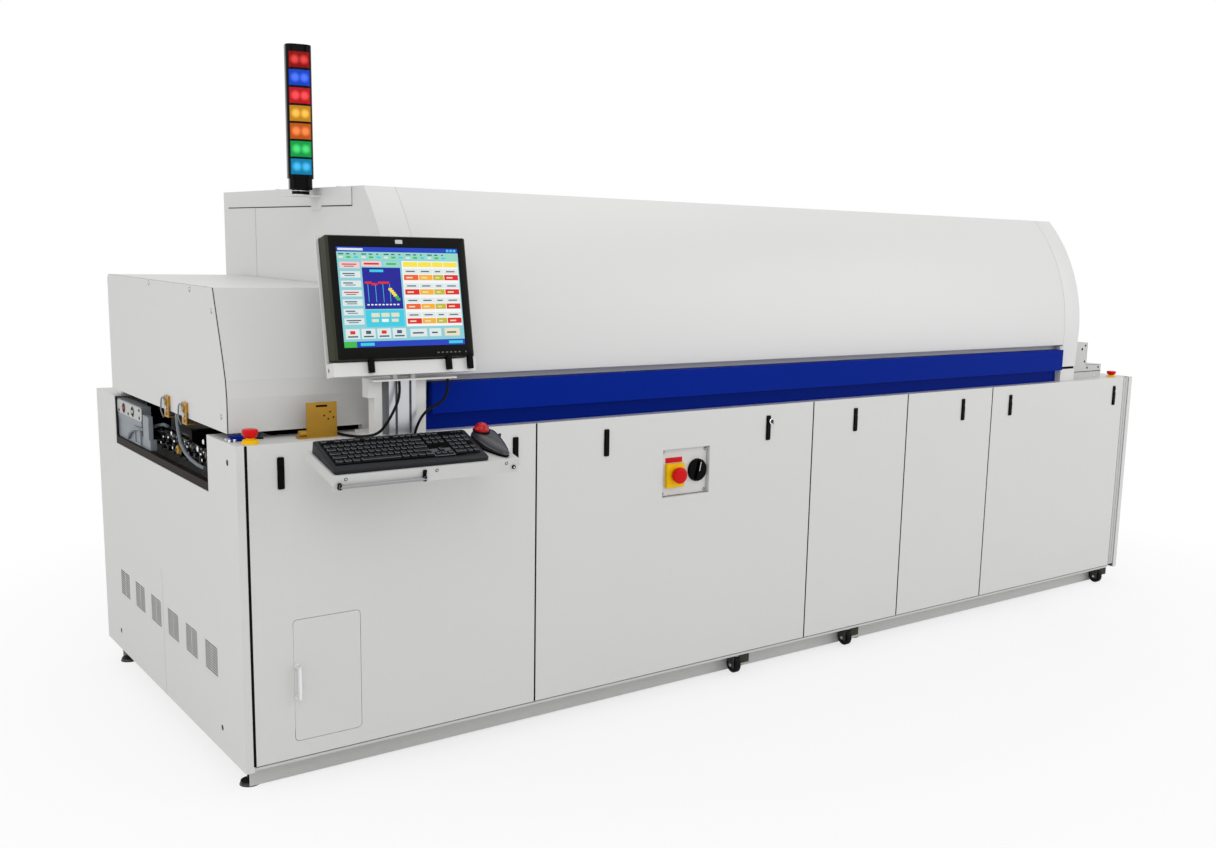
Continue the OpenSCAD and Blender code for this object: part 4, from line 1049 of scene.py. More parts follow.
    def _door_edges(self, shop: Workshop) -> None:
        """Adds dark strips of painted shade in and along the door gaps and at the left corner, the
        light end post and the door handle.
        """
        for number, (x0, x1, body) in enumerate(self.leaves, 1):
            piece = Maker(f"gap_shade_strips_{number}")
            # Painted shade: thin dark strips deep in the gap on both sides of each door.
            for x in (x0 - 0.5, x1 + 0.05):
                piece.box((x, x + 0.45), (0.8, 21), self.leaf_z, Coat.GASKET_AND_SHADE, 0)
            # Painted shade: dark strips along the doors' front edges widen the dark gap lines.
            for x in (x0, x1 - 1.4):
                piece.box((x, x + 1.4), (-0.3, 0.4), self.leaf_z, Coat.GASKET_AND_SHADE, 0)
            piece.done(shop, body)
        post = Maker("end_post")
        # Painted shade: a dark strip at the left end panel's front corner stands in for the shaded
        # gap there.
        post.box((22, 28.4), (-0.3, 2), self.leaf_z, Coat.GASKET_AND_SHADE, 0)
        post.box((4232.5, 4274.4), (3.5, 6.5), self.post_z, Coat.POST, 0.6)
        post.box((4255, 4258), (2, 3.5), self.post_z, Coat.POST, 0.5)
        post.done(shop, "cabinet")
        handle = Maker("access_handle")
        x, z0, z1 = self.handle
        bow = [(x, -1, z0 + 5), (x, -14, z0 + 5), (x, -19.5, z0 + 10), (x, -19.5, z1 - 10),
               (x, -14, z1 - 5), (x, -1, z1 - 5)]
        handle.tube(bow, 5.4, Coat.HANDLE, 16)
        for z in (z0 + 5, z1 - 5):
            handle.rod((x, -0.1, z), FRONT, 8, 1.6, Coat.HANDLE, 0.5, 28)
        handle.done(shop, "access_door")

    def _cover_details(self, shop: Workshop) -> None:
        """Adds the joint round the entry cover's end plate and the bumpers on the hood."""
        piece = Maker("entry_joint")
        for (ya, za), (yb, zb) in zip(self.entry_line, self.entry_line[1:]):
            run = math.hypot(yb - ya, zb - za)
            ny, nz = -(zb - za) / run * 0.4, (yb - ya) / run * 0.4
            piece.quad([(14.0, ya + ny, za + nz), (16.6, ya + ny, za + nz),
                        (16.6, yb + ny, zb + nz), (14.0, yb + ny, zb + nz)], Coat.SEAM)
        piece.done(shop, "cabinet")
        bumps = Maker("hood_bumpers")
        for y in self.bumpers:
            bumps.lathe((492, y, 1731.6), UP, [(0, 0), (11, 0), (11, 2.4), (8, 4), (0, 4.4)],
                        Coat.WHITE, 28)
        bumps.done(shop, "hood")

    def _exit_fittings(self, shop: Workshop) -> None:
        """Adds the channel's end, the exit cover's joints and holes, and the plugs on the deck."""
        piece = Maker("channel_end")
        piece.box((3717, 3736), (12, 70), (1080, 1176), Coat.COVER, 1)
        piece.done(shop, "cabinet")
        piece = Maker("exit_fittings")
        for y in self.end_holes:
            piece.lathe((4121, y, 1056), RIGHT,
                        [(0, 0), (7, 0), (7, 1.2), (4, 1.2), (4, 0.4), (0, 0.4)],
                        Coat.SEAM, 20)
        for x in (3900, 3960):
            piece.lathe((x, 60, 1150), FRONT, [(0, 0), (6, 0), (6, 1), (3, 1), (3, 0.3), (0, 0.3)],
                        Coat.SEAM, 20)
        for x, z in ((4000, (1074, 1075.6)), (3852, (1043, 1046.2))):
            piece.box((x, 4121), (59.7, 60), z, Coat.SEAM, 0)
        piece.box((3999, 4000.3), (59.7, 62), (1076, 1180), Coat.SEAM, 0)
        for place in ((3985, 60, 1092), (4010, 60, 1062), (4100, 60, 1062), (3985, 60, 1166)):
            piece.lathe(place, FRONT, [(0, 0), (5, 0), (5, 0.8), (0, 1)], Coat.SEAM, 20)
        x, y, z = self.plug
        piece.rod((x, y, z), UP, 11, 24, Coat.STEEL, 2)
        piece.rod((x, y, z + 24), UP, 7, 12, Coat.ALUMINIUM, 2)
        piece.done(shop, "cabinet")
        entry = Maker("entry_plug")
        entry.box((16, 52), (84, 112), (1013, 1027), Coat.BLUE, 2)
        entry.box((4, 15), (88, 104), (1013, 1023), Coat.STEEL, 1.5)
        for x in (8, 22):
            entry.rod((x, 74, 1013), UP, 4.5, 9, Coat.CHROME, 1, 20)
        entry.tube([(54, 98, 1020), (66, 104, 1020), (84, 104, 1018), (110, 96, 1016)],
                   3, Coat.CABLE)
        entry.done(shop, "cabinet")


@dataclass
class Hood:
    """Lifting hood with its seams, gasket and blue panels."""

    left: float = 473.0
    right: float = 3848.0
    cap: float = 100.0
    right_cap: float = 111.0
    belly: float = 10.0
    belly_z: float = 1240.0
    radius: float = 698.0
    top: float = 1732.0
    rear: float = 1469.0
    split: float = 1080.0

    def build(self, shop: Workshop) -> None:
        """Smooths the sheet shells and adds the seams and the gasket."""
        for name in ("hood_shell", "hood_left_end", "hood_right_end"):
            shop.clone(name + "_skin", name, Coat.HOOD, "hood", 0.8)
        shop.dress(["upper_fascia", "lower_fascia"], Coat.BLUE)
        shop.dress(["upper_heaters", "lower_heaters"], Coat.SHEET_METAL)
        self._seams(shop)
        self._gasket(shop)

    def profile(self, out: float) -> list[tuple[float, float]]:
        """Returns the Y and Z points of the hood's outer line, moved out by a small distance."""
        centre = self.belly + self.radius
        start = math.asin((self.top - self.belly_z) / self.radius)
        line = [(17 - out, self.split)]
        steps = 28
        for k in range(steps + 1):
            angle = start * k / steps
            line.append((centre - (self.radius + out) * math.cos(angle),
                         self.belly_z + (self.radius + out) * math.sin(angle)))
        line.append((self.rear + out, self.top + out))
        return line

    def _seams(self, shop: Workshop) -> None:
        """Adds the fine joints between the shell and its end caps."""
        piece = Maker("hood_seams")
        for x in (self.left + self.cap, self.right - self.right_cap):
            outer, inner = self.profile(0.35), self.profile(-0.5)
            for k in range(len(outer) - 1):
                (ya, za), (yb, zb) = outer[k], outer[k + 1]
                (yc, zc), (yd, zd) = inner[k], inner[k + 1]
                w = 0.7
                piece.quad([(x - w, ya, za), (x + w, ya, za), (x + w, yb, zb), (x - w, yb, zb)],
                           Coat.COVER)
                for s in (-w, w):
                    piece.quad([(x + s, ya, za), (x + s, yc, zc), (x + s, yd, zd), (x + s, yb, zb)],
                               Coat.COVER)
        face = self.left - 0.25
        piece.box((face, self.left), (300, 1418), (1672.6, 1675.4), Coat.SEAM, 0)
        piece.box((face, self.left), (296.6, 299.4), (1672.6, 1730), Coat.SEAM, 0)
        piece.box((face, self.left), (1133.4, 1135.4), (1433, 1672.6), Coat.DUCT, 0)
        piece.done(shop, "hood")

    def _gasket(self, shop: Workshop) -> None:
        """Adds the dark seal that the hood closes on, and a dark block of painted shade in the gap
        below the hood's right end cap.
        """
        piece = Maker("hood_gasket")
        x0, x1, z = self.left + 9, self.right - 9, (1073.2, 1079.6)
        piece.box((x0, x1), (50, 58), z, Coat.GASKET_AND_SHADE, 1)
        # Painted shade: this block fills the gap below the right end cap so it reads dark.
        piece.box((3738, 3846), (23, 44), (1066, 1079.6), Coat.GASKET_AND_SHADE, 1)
        piece.box((x0, x1), (1425, 1433), z, Coat.GASKET_AND_SHADE, 1)
        for x in (x0, x1 - 8):
            piece.box((x, x + 8), (58, 240), z, Coat.GASKET_AND_SHADE, 1)
            piece.box((x, x + 8), (1258, 1425), z, Coat.GASKET_AND_SHADE, 1)
        piece.done(shop, "cabinet")


@dataclass
class Latches:
    """Lever latches on the doors."""

    places: tuple = (121.5, 872.0, 1220.0, 1941.0, 2398.0, 3045.5, 3364.5, 4153.0)
    middle: float = 929.5
    height: float = 91.0
    width: float = 20.0
    pivot: float = 961.0
    keyed: int = 4

    def build(self, shop: Workshop) -> None:
        """Builds each latch as a moulded lever on its spindle."""
        for number, x in enumerate(self.places, 1):
            node = f"latch_{number}"
            piece = Maker(f"lever_{number}")
            low, high = self.middle - self.height / 2, self.middle + self.height / 2
            half = self.width / 2
            body = round_rect(x - half, low, x + half, high, 4)
            piece.slab(body, 3.0, Coat.BLACK, 0.8, upright(0, -0.3, 0))
            grip = round_rect(x - half + 2, low + 2, x + half - 2, high - 30, 4)
            piece.slab(grip, 3.4, Coat.BLACK, 1.4, upright(0, -3.2, 0))
            piece.rod((x, -3.0, self.pivot), FRONT, 7.6, 3.6, Coat.BLACK, 1)
            piece.rod((x, -3.0, self.pivot), (0, 1, 0), 6, 31, Coat.STEEL, 0.5)
            piece.box((x - 8, x + 8), (23, 27), (self.pivot - 34, self.pivot + 8), Coat.STEEL, 1)
            if number == self.keyed:
                across, up = x + 9, self.pivot - 7
                piece.rod((across, -6, up), FRONT, 12, 7, Coat.CHROME, 1.5)
                piece.rod((across, -12.8, up), FRONT, 7.5, 1.4, Coat.DARK_STEEL, 0.3)
                piece.box((across - 1.2, across + 1.2), (-24, -13.5), (up - 9, up + 9),
                          Coat.CHROME, 0.6)
            piece.done(shop, node, [node])


@dataclass
class Switches:
    """Emergency stops and the mains dial.

    A cap has its radius, how far its stem goes into the base and how much lower its top is.
    """

    left: tuple = (52.0, 36.0, 1013.0)
    right: tuple = (4186.0, 42.0, 1013.0)
    panel: tuple = (1517.0, 15.0, 795.0)
    dial: tuple = (1619.0, 3.0, 801.0)
    left_base: float = 11.0
    right_base: float = 5.0
    panel_base: float = 16.0
    left_cap: tuple = (22.0, 5.4, 0)
    right_cap: tuple = (22.0, -0.6, 7)
    panel_cap: tuple = (29.0, 13, 0)
    plate_y: float = 15.0
    grip_turn: float = -12.0

    def build(self, shop: Workshop) -> None:
        """Builds the stop buttons on their bases, and the dial."""
        bases = Maker("stop_housings")
        for place, h in ((self.left, self.left_base), (self.right, self.right_base)):
            bases.lathe(place, UP, [(10, 0), (24, 0), (24, h * 0.4), (22.6, h * 0.55),
                                    (21, h * 0.6), (21, h - 1), (20, h), (12, h), (12, h + 4.8),
                                    (10, h + 4.8), (10, 0)], Coat.YELLOW)
        x, _, z = self.panel
        bases.box((x - 38, x + 38), (-0.8, 14.9), (z - 45.6, z + 38), Coat.YELLOW, 3)
        bases.rod((x, -0.6, z), FRONT, 27, 0.9, Coat.YELLOW, 0.4)
        bases.done(shop, "cabinet", ["stop_bases"])
        for name, place, axis, base, size in (
                ("left_stop_cap", self.left, UP, self.left_base, self.left_cap),
                ("right_stop_cap", self.right, UP, self.right_base, self.right_cap),
                ("panel_stop_cap", self.panel, FRONT, self.panel_base, self.panel_cap)):
            self._cap(shop, name, Vector(place) + Vector(axis) * base, axis, size)
        self._dial(shop)
        self._plate(shop)

    @staticmethod
    def _cap(shop: Workshop, name: str, start: Vector, axis: Point, size: Sequence[float]) -> None:
        """Builds one mushroom cap.

        Args:
            shop: the workshop.
            name: the body and node that it stands for.
            start: the middle of its base's top.
            axis: the way that it looks.
            size: its radius, how far its stem goes into the base and how much lower its top is.
        """
        r, stem, low = size
        flare = 1 - low / 13
        piece = Maker(name + "_mushroom")
        piece.lathe(start, axis, [(9, -stem), (9, 12), (r - 8, 12), (r - 8, 6), (r - 6.6, 6),
                                  (r - 4.5, 8), (r - 3, 9 + 3 * flare),
                                  (r - 1.4, 9.2 + 7.8 * flare),
                                  (r - 0.2, 22 - low), (r - 0.4, 26 - low), (r - 2, 28.6 - low),
                                  (r - 5, 29.6 - low), (9, 29.9 - low), (0, 30 - low)],
                    Coat.RED, 48)
        piece.done(shop, name, [name])

    def _dial(self, shop: Workshop) -> None:
        """Builds the mains dial with its slanted grip."""
        x, y, z = self.dial
        piece = Maker("dial_knob")
        piece.lathe((x, y + 11, z), FRONT, [(9, -15), (9, 0), (40, 0), (41, 1.5), (40.6, 7),
                                            (38.5, 10.6), (35, 11), (0, 11)], Coat.GLOSS_BLACK, 64)
        turn = Matrix.Translation((x, y, z)) @ Matrix.Rotation(math.pi / 2, 4, "X")
        turn = turn @ Matrix.Rotation(math.radians(self.grip_turn), 4, "Z")
        grip = [(-7, -33), (7, -33), (6, 33), (0, 34.5), (-6, 33)]
        piece.slab(grip, 8, Coat.GLOSS_BLACK, 1.6, turn)
        mark = turn @ Matrix.Translation((0, 0, 7.9))
        piece.slab([(-1.2, -2), (1.2, -2), (1.2, 30), (-1.2, 30)], 0.5, Coat.WHITE, 0, mark)
        piece.done(shop, "mains_dial", ["mains_dial"])

    def _plate(self, shop: Workshop) -> None:
        """Adds the marks, label field and screws on the switch plate."""
        piece = Maker("switch_marks")
        x, _, z = self.panel
        face = self.plate_y - 0.1
        piece.slab(round_rect(x - 37, z + 40, x + 37, z + 58, 1.5), 0.8, Coat.RED, 0.2,
                   upright(0, face, 0))
        dx, _, dz = self.dial
        piece.lathe((dx, face, dz), FRONT, [(38, -0.1), (44.5, -0.1), (44.5, 0.4), (38, 0.4)],
                    Coat.HANDLE, 64)
        for sx, sz in ((1470, 728), (1656, 728), (1470, 874), (1656, 874)):
            piece.screw((sx, face, sz), FRONT, Coat.STEEL, 4)
        piece.done(shop, "cabinet")


@dataclass
class LightTower:
    """Signal tower with seven lit lenses."""

    x: float = 421.0
    y: float = 572.0
    z: float = 1706.0
    height: float = 457.0
    width: float = 78.0
    lamp_h: float = 48.0
    pitch: float = 54.0
    turn: float = -14.0
    corner: float = 24.5
    level: float = 0.38
    first_level: float = 0.14
    hues: tuple = (("red", (236, 30, 24)), ("blue", (32, 92, 250)), ("rose", (240, 34, 44)),
                   ("amber", (250, 176, 40)), ("orange", (246, 116, 30)), ("green", (30, 204, 96)),
                   ("cyan", (20, 168, 226)))

    def build(self, shop: Workshop) -> None:
        """Builds the lamps and dresses the black housing."""
        shop.dress(["tower_housing"], Coat.GLOSS_BLACK)
        turn = Matrix.Rotation(math.radians(self.turn), 4, "Z")
        turn = Matrix.Translation((self.x, self.y, 0)) @ turn
        piece = Maker("tower_lamps")
        top = self.z + self.height - 22
        half, inner = self.width / 2 - 7.1, self.width / 2 - 1.5
        for number, (hue, values) in enumerate(self.hues):
            low = top - number * self.pitch - self.lamp_h + 0.1
            middle = low + self.lamp_h / 2
            spots = [shop.datum.at(*(turn @ Vector((s, -inner, middle)))) for s in (-14, 14)]
            glass = shop.paint.lamp(f"lens_{hue}", tint(*values), spots,
                                    self.level if number else self.first_level)
            piece.slab(self._front(half, inner), self.lamp_h - 0.2, glass, 0.8,
                       turn @ Matrix.Translation((0, 0, low)))
        piece.done(shop, "hood", ["tower_lenses"])
        collar = Maker("tower_collar")
        for z, r in ((self.z, 30), (self.z + 12, 29)):
            collar.rod((self.x, self.y, z), UP, r, 3, Coat.ALUMINIUM, 0.8, 48)
        collar.done(shop, "hood")

    def _front(self, half: float, reach: float) -> list[tuple[float, float]]:
        """Returns the lens outline: flat at the back, round at its front corners."""
        r = self.corner
        points = [(half, 0.4), (-half, 0.4)]
        cut = math.asin((half - (reach - r)) / r)
        steps = 8
        left = []
        for k in range(steps + 1):
            angle = cut * (1 - k / steps)
            left.append((-(reach - r) - r * math.sin(angle), -(reach - r) - r * math.cos(angle)))
        points += left + [(-x, y) for x, y in reversed(left)]
        return points


@dataclass
class Display:
    """Tilting monitor with its lit screen."""

    place: tuple = (247.0, -100.0, 1244.0)
    tilt: float = -10.0
    width: float = 428.0
    height: float = 347.0
    depth: float = 58.0
    screen: tuple = (28.0, 36.0, 400.0, 315.0)
    layer: float = 0.04
    clips: tuple = ((0.24, 0), (0.8, 0), (0.98, 8))

    def frame(self) -> Matrix:
        """Returns the monitor's frame: X across, Y to the rear and Z up its face."""
        turn = Matrix.Rotation(math.radians(self.tilt), 4, "X")
        return Matrix.Translation(self.place) @ turn

    def build(self, shop: Workshop) -> None:
        """Builds the housing, the screen and the clips."""
        piece = Maker("display", self.frame())
        w, h = self.width, self.height
        u0, v0, u1, v1 = self.screen
        back = (1.5, 1.5, w - 1.5, h - 1.5, 4)
        rings = [((3, 3, w - 3, h - 3, 4), self.depth - 0.5), (back, self.depth - 3), (back, 22)]
        piece.loft([self._ring(box, y) for box, y in rings], Coat.HOUSING)
        rings = [(back, 22), ((0, 0, w, h, 5), 22),
                 ((0, 0, w, h, 5), 8), ((6.5, 3, w - 6.5, h - 3, 4.6), 0.8),
                 ((8, 4.5, w - 8, h - 4.5, 3.4), 0),
                 ((u0 - 1.2, v0 - 1.2, u1 + 1.2, v1 + 1.2, 1.6), 0),
                 ((u0 - 0.4, v0 - 0.4, u1 + 0.4, v1 + 0.4, 1), 0.8), ((u0, v0, u1, v1, 0.6), 3)]
        piece.loft([self._ring(box, y) for box, y in rings[:4]], Coat.HOUSING, False, False)
        piece.loft([self._ring(box, y) for box, y in rings[3:]], Coat.BEZEL, False)
        self._controls(piece)
        for share, out in self.clips:
            x = w * share - 8 - out
            piece.box((x, x + 16), (-1.5, 1.2), (-34, 7), Coat.BLACK, 1.2)
            piece.box((x, x + 16), (-1.5, 11), (-35, -31), Coat.BLACK, 1.2)
            piece.box((x, x + 16), (4, 11), (-30, 4), Coat.BLACK, 1)
        piece.done(shop, "monitor_head", ["monitor"])
        self._picture(shop)

    @staticmethod
    def _ring(box: Sequence[float], depth: float) -> list[Vector]:
        """Returns a rounded rectangle of the face at a depth."""
        return [Vector((x, depth, z)) for x, z in round_rect(*box, steps=4)]

    @staticmethod
    def _controls(piece: Maker) -> None:
        """Adds the pale spot at the top and the buttons below the screen."""
        spot = Matrix.Rotation(math.pi / 2, 4, "X")
        piece.slab(round_rect(204, 325, 226, 336, 1.5), 0.4, Coat.COVER, 0.1, spot)
        for k in range(6):
            x = 306 + 13.5 * k
            piece.slab(round_rect(x, 13, x + 7.5, 17, 1.6), 0.6, Coat.GREY_PLASTIC, 0.2, spot)
        piece.rod((398, 0.1, 15), FRONT, 2.6, 0.7, Coat.GREY_PLASTIC, 0.2, 20)

    def _picture(self, shop: Workshop) -> None:
        """Lays out the operator's screen in plain coloured fields."""
        piece = Maker("operator_screen", self.frame())
        for part in (self._bars, self._menu, self._chart, self._table, self._footer):
            for level, *box, hue in part():
                self._field(piece, level, box, hue)
        piece.done(shop, "monitor_head")

    @staticmethod
    def _bars() -> Iterator[Patch]:
        """Yields the ground, and the bars at the top with their buttons."""
        yield 0, 0.0, 0.0, 1.0, 1.0, Field.GROUND
        yield 1, 0.0, 0.0, 1.0, 0.05, Field.TITLE
        yield 1, 0.0, 0.05, 1.0, 0.125, Field.MENU
        for k in range(15):
            u = 0.015 + 0.06 * k
            yield 2, u, 0.066, u + 0.04 - 0.012 * (k % 3), 0.078, Field.INK
            yield 2, u, 0.094, u + 0.034, 0.112, (Field.BUTTON, Field.GREEN, Field.CYAN)[k % 3]
        yield 2, 0.012, 0.014, 0.21, 0.036, Field.BUTTON
        for k in range(3):
            yield 2, 0.9 + 0.03 * k, 0.012, 0.922 + 0.03 * k, 0.038, Field.CYAN

    @staticmethod
    def _menu() -> Iterator[Patch]:
        """Yields the left column of buttons and the two tabs."""
        for k in range(7):
            v = 0.15 + 0.093 * k
            yield 1, 0.018, v, 0.175, v + 0.064, Field.PINK if k == 0 else Field.BUTTON
            yield (2, 0.035, v + 0.018, 0.15 - 0.02 * (k % 3), v + 0.03,
                   Field.SCARLET if k in (0, 3) else Field.INK)
            yield 2, 0.05, v + 0.04, 0.13, v + 0.048, Field.INK
        yield 1, 0.19, 0.14, 0.35, 0.195, Field.PINK
        yield 2, 0.21, 0.158, 0.33, 0.177, Field.SCARLET
        yield 1, 0.365, 0.14, 0.5, 0.195, Field.MENU
        yield 2, 0.39, 0.158, 0.47, 0.177, Field.GREEN

    @staticmethod
    def _chart() -> Iterator[Patch]:
        """Yields the dark profile chart and the cyan panel below it."""
        yield 1, 0.19, 0.205, 0.5, 0.62, Field.CHART
        yield 2, 0.25, 0.225, 0.36, 0.25, Field.CYAN
        for u, v, run in ((0.205, 0.345, 0.055), (0.31, 0.345, 0.09), (0.255, 0.36, 0.05)):
            yield 2, u, v, u + run, v + 0.022, Field.SCARLET
        for u in (0.225, 0.285, 0.345, 0.4):
            yield 2, u, 0.37, u + 0.004, 0.55, Field.CYAN
        for k in range(6):
            yield (2, 0.39 + 0.012 * k, 0.41 + 0.02 * k, 0.42 + 0.012 * k, 0.436 + 0.02 * k,
                   Field.YELLOW if k < 4 else Field.GREEN)
        for k in range(9):
            yield 2, 0.21 + 0.03 * k, 0.57, 0.228 + 0.03 * k, 0.583, Field.WHITE
        yield 1, 0.19, 0.63, 0.5, 0.8, Field.CYAN
        for k in range(3):
            u = 0.235 + 0.08 * k
            yield 2, u, 0.66, u + 0.065, 0.7, Field.BEIGE
            yield 2, u, 0.72, u + 0.055, 0.75, Field.WHITE if k % 2 else Field.BEIGE

    @staticmethod
    def _table() -> Iterator[Patch]:
        """Yields the table of zones: a head, and white values over coloured set points."""
        columns = ((0.525, 0.12, Field.ORANGE), (0.65, 0.115, Field.AMBER),
                   (0.77, 0.09, Field.OLIVE), (0.865, 0.12, Field.SCARLET))
        yield 1, 0.515, 0.135, 0.99, 0.8, Field.WHITE
        for u, run, hue in columns:
            yield 2, u, 0.145, u + run, 0.195, Field.YELLOW
            for row in range(4):
                v = 0.215 + 0.148 * row
                yield 2, u, v, u + run, v + 0.05, Field.BUTTON
                warm = Field.SCARLET if row % 2 and hue is Field.ORANGE else hue
                yield 2, u, v + 0.06, u + run, v + 0.115, warm
                yield 3, u + 0.02, v + 0.02, u + run - 0.025, v + 0.032, Field.INK
                yield 3, u + 0.02, v + 0.082, u + run * 0.6, v + 0.096, Field.BEIGE

    @staticmethod
    def _footer() -> Iterator[Patch]:
        """Yields the row of buttons and the bar at the bottom."""
        for k in range(4):
            u = 0.02 + 0.125 * k
            yield 1, u, 0.815, u + 0.11, 0.915, Field.BUTTON
            yield 2, u + 0.035, 0.835, u + 0.075, 0.868, Field.SCARLET if k % 2 == 0 else Field.INK
            yield 2, u + 0.015, 0.885, u + 0.095, 0.9, Field.INK
        for k, run in enumerate((0.14, 0.1, 0.13)):
            u = (0.54, 0.7, 0.83)[k]
            yield 1, u, 0.825, u + run, 0.905, Field.BEIGE if k == 2 else Field.BUTTON
            yield 2, u + 0.02, 0.86, u + run - 0.03, 0.876, Field.INK
        yield 1, 0.0, 0.94, 1.0, 1.0, Field.TITLE
        yield 2, 0.0, 0.94, 0.1, 1.0, Field.GREEN
        yield 2, 0.13, 0.955, 0.24, 0.985, Field.CYAN
        yield 2, 0.86, 0.955, 0.98, 0.985, Field.CYAN

    def _field(self, piece: Maker, level: int, box: Sequence[float], hue: Field) -> None:
        """Adds one flat field.

        Args:
            piece: the screen.
            level: how many layers lie below it.
            box: left, top, right and bottom as shares of the screen.
            hue: its colour.
        """
        u0, v0, u1, v1 = self.screen
        inset = 0.3
        left = max(u0 + inset, u0 + (u1 - u0) * box[0])
        right = min(u1 - inset, u0 + (u1 - u0) * box[2])
        high = min(v1 - inset, v1 - (v1 - v0) * box[1])
        low = max(v0 + inset, v1 - (v1 - v0) * box[3])
        y = 2.9 - level * self.layer
        piece.quad([(left, y, low), (right, y, low), (right, y, high), (left, y, high)], hue)


@dataclass
class OperatorTray:
    """Keyboard, trackball and the fittings of the tilting tray."""

    place: tuple = (155.0, -285.0, 964.0)
    slope: float = 13.5
    width: float = 560.0
    board: tuple = (6.0, 5.0, 458.0, 160.0)
    front: float = 14.0
    back: float = 34.0
    unit: float = 19.05
    ball: tuple = (507.0, 138.0, 40.0)
    shell: tuple = (515, 126, 43, 115)
    rows: tuple = (
        (1.25, 1.25, 1.25, 6.25, 1.25, 1.25, 1.25, 1.25),
        (2.25, 1, 1, 1, 1, 1, 1, 1, 1, 1, 1, 2.75),
        (1.75, 1, 1, 1, 1, 1, 1, 1, 1, 1, 1, 1, 2.25),
        (1.5, 1, 1, 1, 1, 1, 1, 1, 1, 1, 1, 1, 1, 1.5),
        (1, 1, 1, 1, 1, 1, 1, 1, 1, 1, 1, 1, 1, 2),
        (1, -1, 1, 1, 1, 1, -0.5, 1, 1, 1, 1, -0.5, 1, 1, 1, 1),
    )
    nav_rows: tuple = ((1, 1, 1), (-1, 1, -1), (), (1, 1, 1), (1, 1, 1), (1, 1, 1))
    key_steps: tuple = ((0.9, 0.2, 1.2), (1.1, 1.6, 1.4), (3.0, 6.4, 2.2), (3.7, 6.9, 2.0),
                        (5.4, 6.6, 1.2))
    pad_rows: tuple = ((2, 1, 1), (1, 1, 1, 1), (1, 1, 1), (1, 1, 1, 1), (1, 1, 1, 1), ())

    def frame(self) -> Matrix:
        """Returns the tray's frame: X across, Y up its slope and Z off its top."""
        return Matrix.Translation(self.place) @ Matrix.Rotation(math.radians(self.slope), 4, "X")

    def build(self, shop: Workshop) -> None:
        """Builds everything on the tray."""
        shop.dress(["tray"], Coat.TRAY)
        self._keyboard(shop)
        self._trackball(shop)
        self._fittings(shop)

    def _keyboard(self, shop: Workshop) -> None:
        """Builds the keyboard: a sloping base with a palm strip, and single keys."""
        x0, y0, w, d = self.board
        piece = Maker("keyboard_unit", self.frame())
        rings = []
        for inset, lift in ((1.5, 0.0), (0.0, 2.0), (0.0, 1.0), (2.2, 2.6)):
            top = len(rings) >= 2
            ring = []
            for x, y in round_rect(x0 + inset, y0 + inset, x0 + w - inset, y0 + d - inset, 7, 4):
                z = self._surface(y - y0) - 2.6 + lift if top else 0.4 + lift
                ring.append(Vector((x, y, z)))
            rings.append(ring)
        piece.loft(rings, Coat.KEY_BASE)
        tilt = math.atan((self.back - self.front) / d)
        start = x0 + 14
        # Painted shade: a dark sheet under each block of keys stands in for the shade in the gaps
        # between them.
        for left, right in ((0.0, 15.0), (15.25, 18.25), (18.5, 22.5)):
            well = round_rect(start + left * self.unit - 1, 0,
                              start + right * self.unit + 1, 126.5, 2)
            piece.slab(well, 0.5, Coat.SHADE_WELL, 0, self._on_slope(y0 + 25.6, y0, tilt, 0.0))
        for group, offset in ((self.rows, 0.0), (self.nav_rows, 15.25), (self.pad_rows, 18.5)):
            for number, row in enumerate(group):
                y = y0 + 27 + number * 20.0 + (6 if number == 5 else 0)
                x = start + offset * self.unit
                for size in row:
                    if size > 0:
                        self._key(piece, x, y, size * self.unit, 18.0, y0, tilt)
                    x += abs(size) * self.unit
        piece.slab(round_rect(start + 15.1 * self.unit, 0, start + 18.4 * self.unit, 40.5, 2), 1.0,
                   Coat.GREY_PLASTIC, 0.3, self._on_slope(y0 + 24, y0, tilt, 0.1))
        for k in range(3):
            left, right = start + 395 + 12 * k, start + 401 + 12 * k
            piece.slab([(left, 0), (right, 0), (right, 2.5), (left, 2.5)], 0.4, Coat.GREY_PLASTIC,
                       0, self._on_slope(y0 + 146, y0, tilt, 0.2))
        piece.done(shop, "tray", ["keyboard"])

    def _surface(self, y: float) -> float:
        """Returns the height of the keyboard's top at a distance from its front."""
        rise = self.front + (self.back - self.front) * max(0.0, y) / self.board[3]
        return rise - 5.0 * max(0.0, 1 - y / 16.0) ** 2

    def _on_slope(self, y: float, y0: float, tilt: float, lift: float) -> Matrix:
        """Returns a frame that lies on the keyboard's top at a distance from its front."""
        height = self.front + (self.back - self.front) * (y - y0) / self.board[3] + lift
        return Matrix.Translation((0, y, height)) @ Matrix.Rotation(tilt, 4, "X")

    def _key(self, piece: Maker, x: float, y: float, w: float, d: float, y0: float,
             tilt: float) -> None:
        """Adds one key with sloping sides and a dished top; the top and a ring round it are painted
        lighter as highlight.

        Args:
            piece: the keyboard.
            x: its left side.
            y: its front side.
            w: its pitch across.
            d: its depth.
            y0: the front of the keyboard.
            tilt: the slope of the keyboard's top.
        """
        place = self._on_slope(y, y0, tilt, 0.0)
        rings = []
        for inset, lift, round_ in self.key_steps:
            outline = round_rect(x + inset, inset, x + w - inset, d - inset, round_, 2)
            rings.append([place @ Vector((px, py, lift)) for px, py in outline])
        piece.loft(rings[:3], Coat.KEY)
        # Painted highlight: a lighter ring round the top edge and a lighter top stand in for the
        # light on the keys.
        piece.loft(rings[2:4], Coat.KEY_EDGE_HIGHLIGHT)
        piece.loft(rings[3:], Coat.KEY_TOP_LIT)

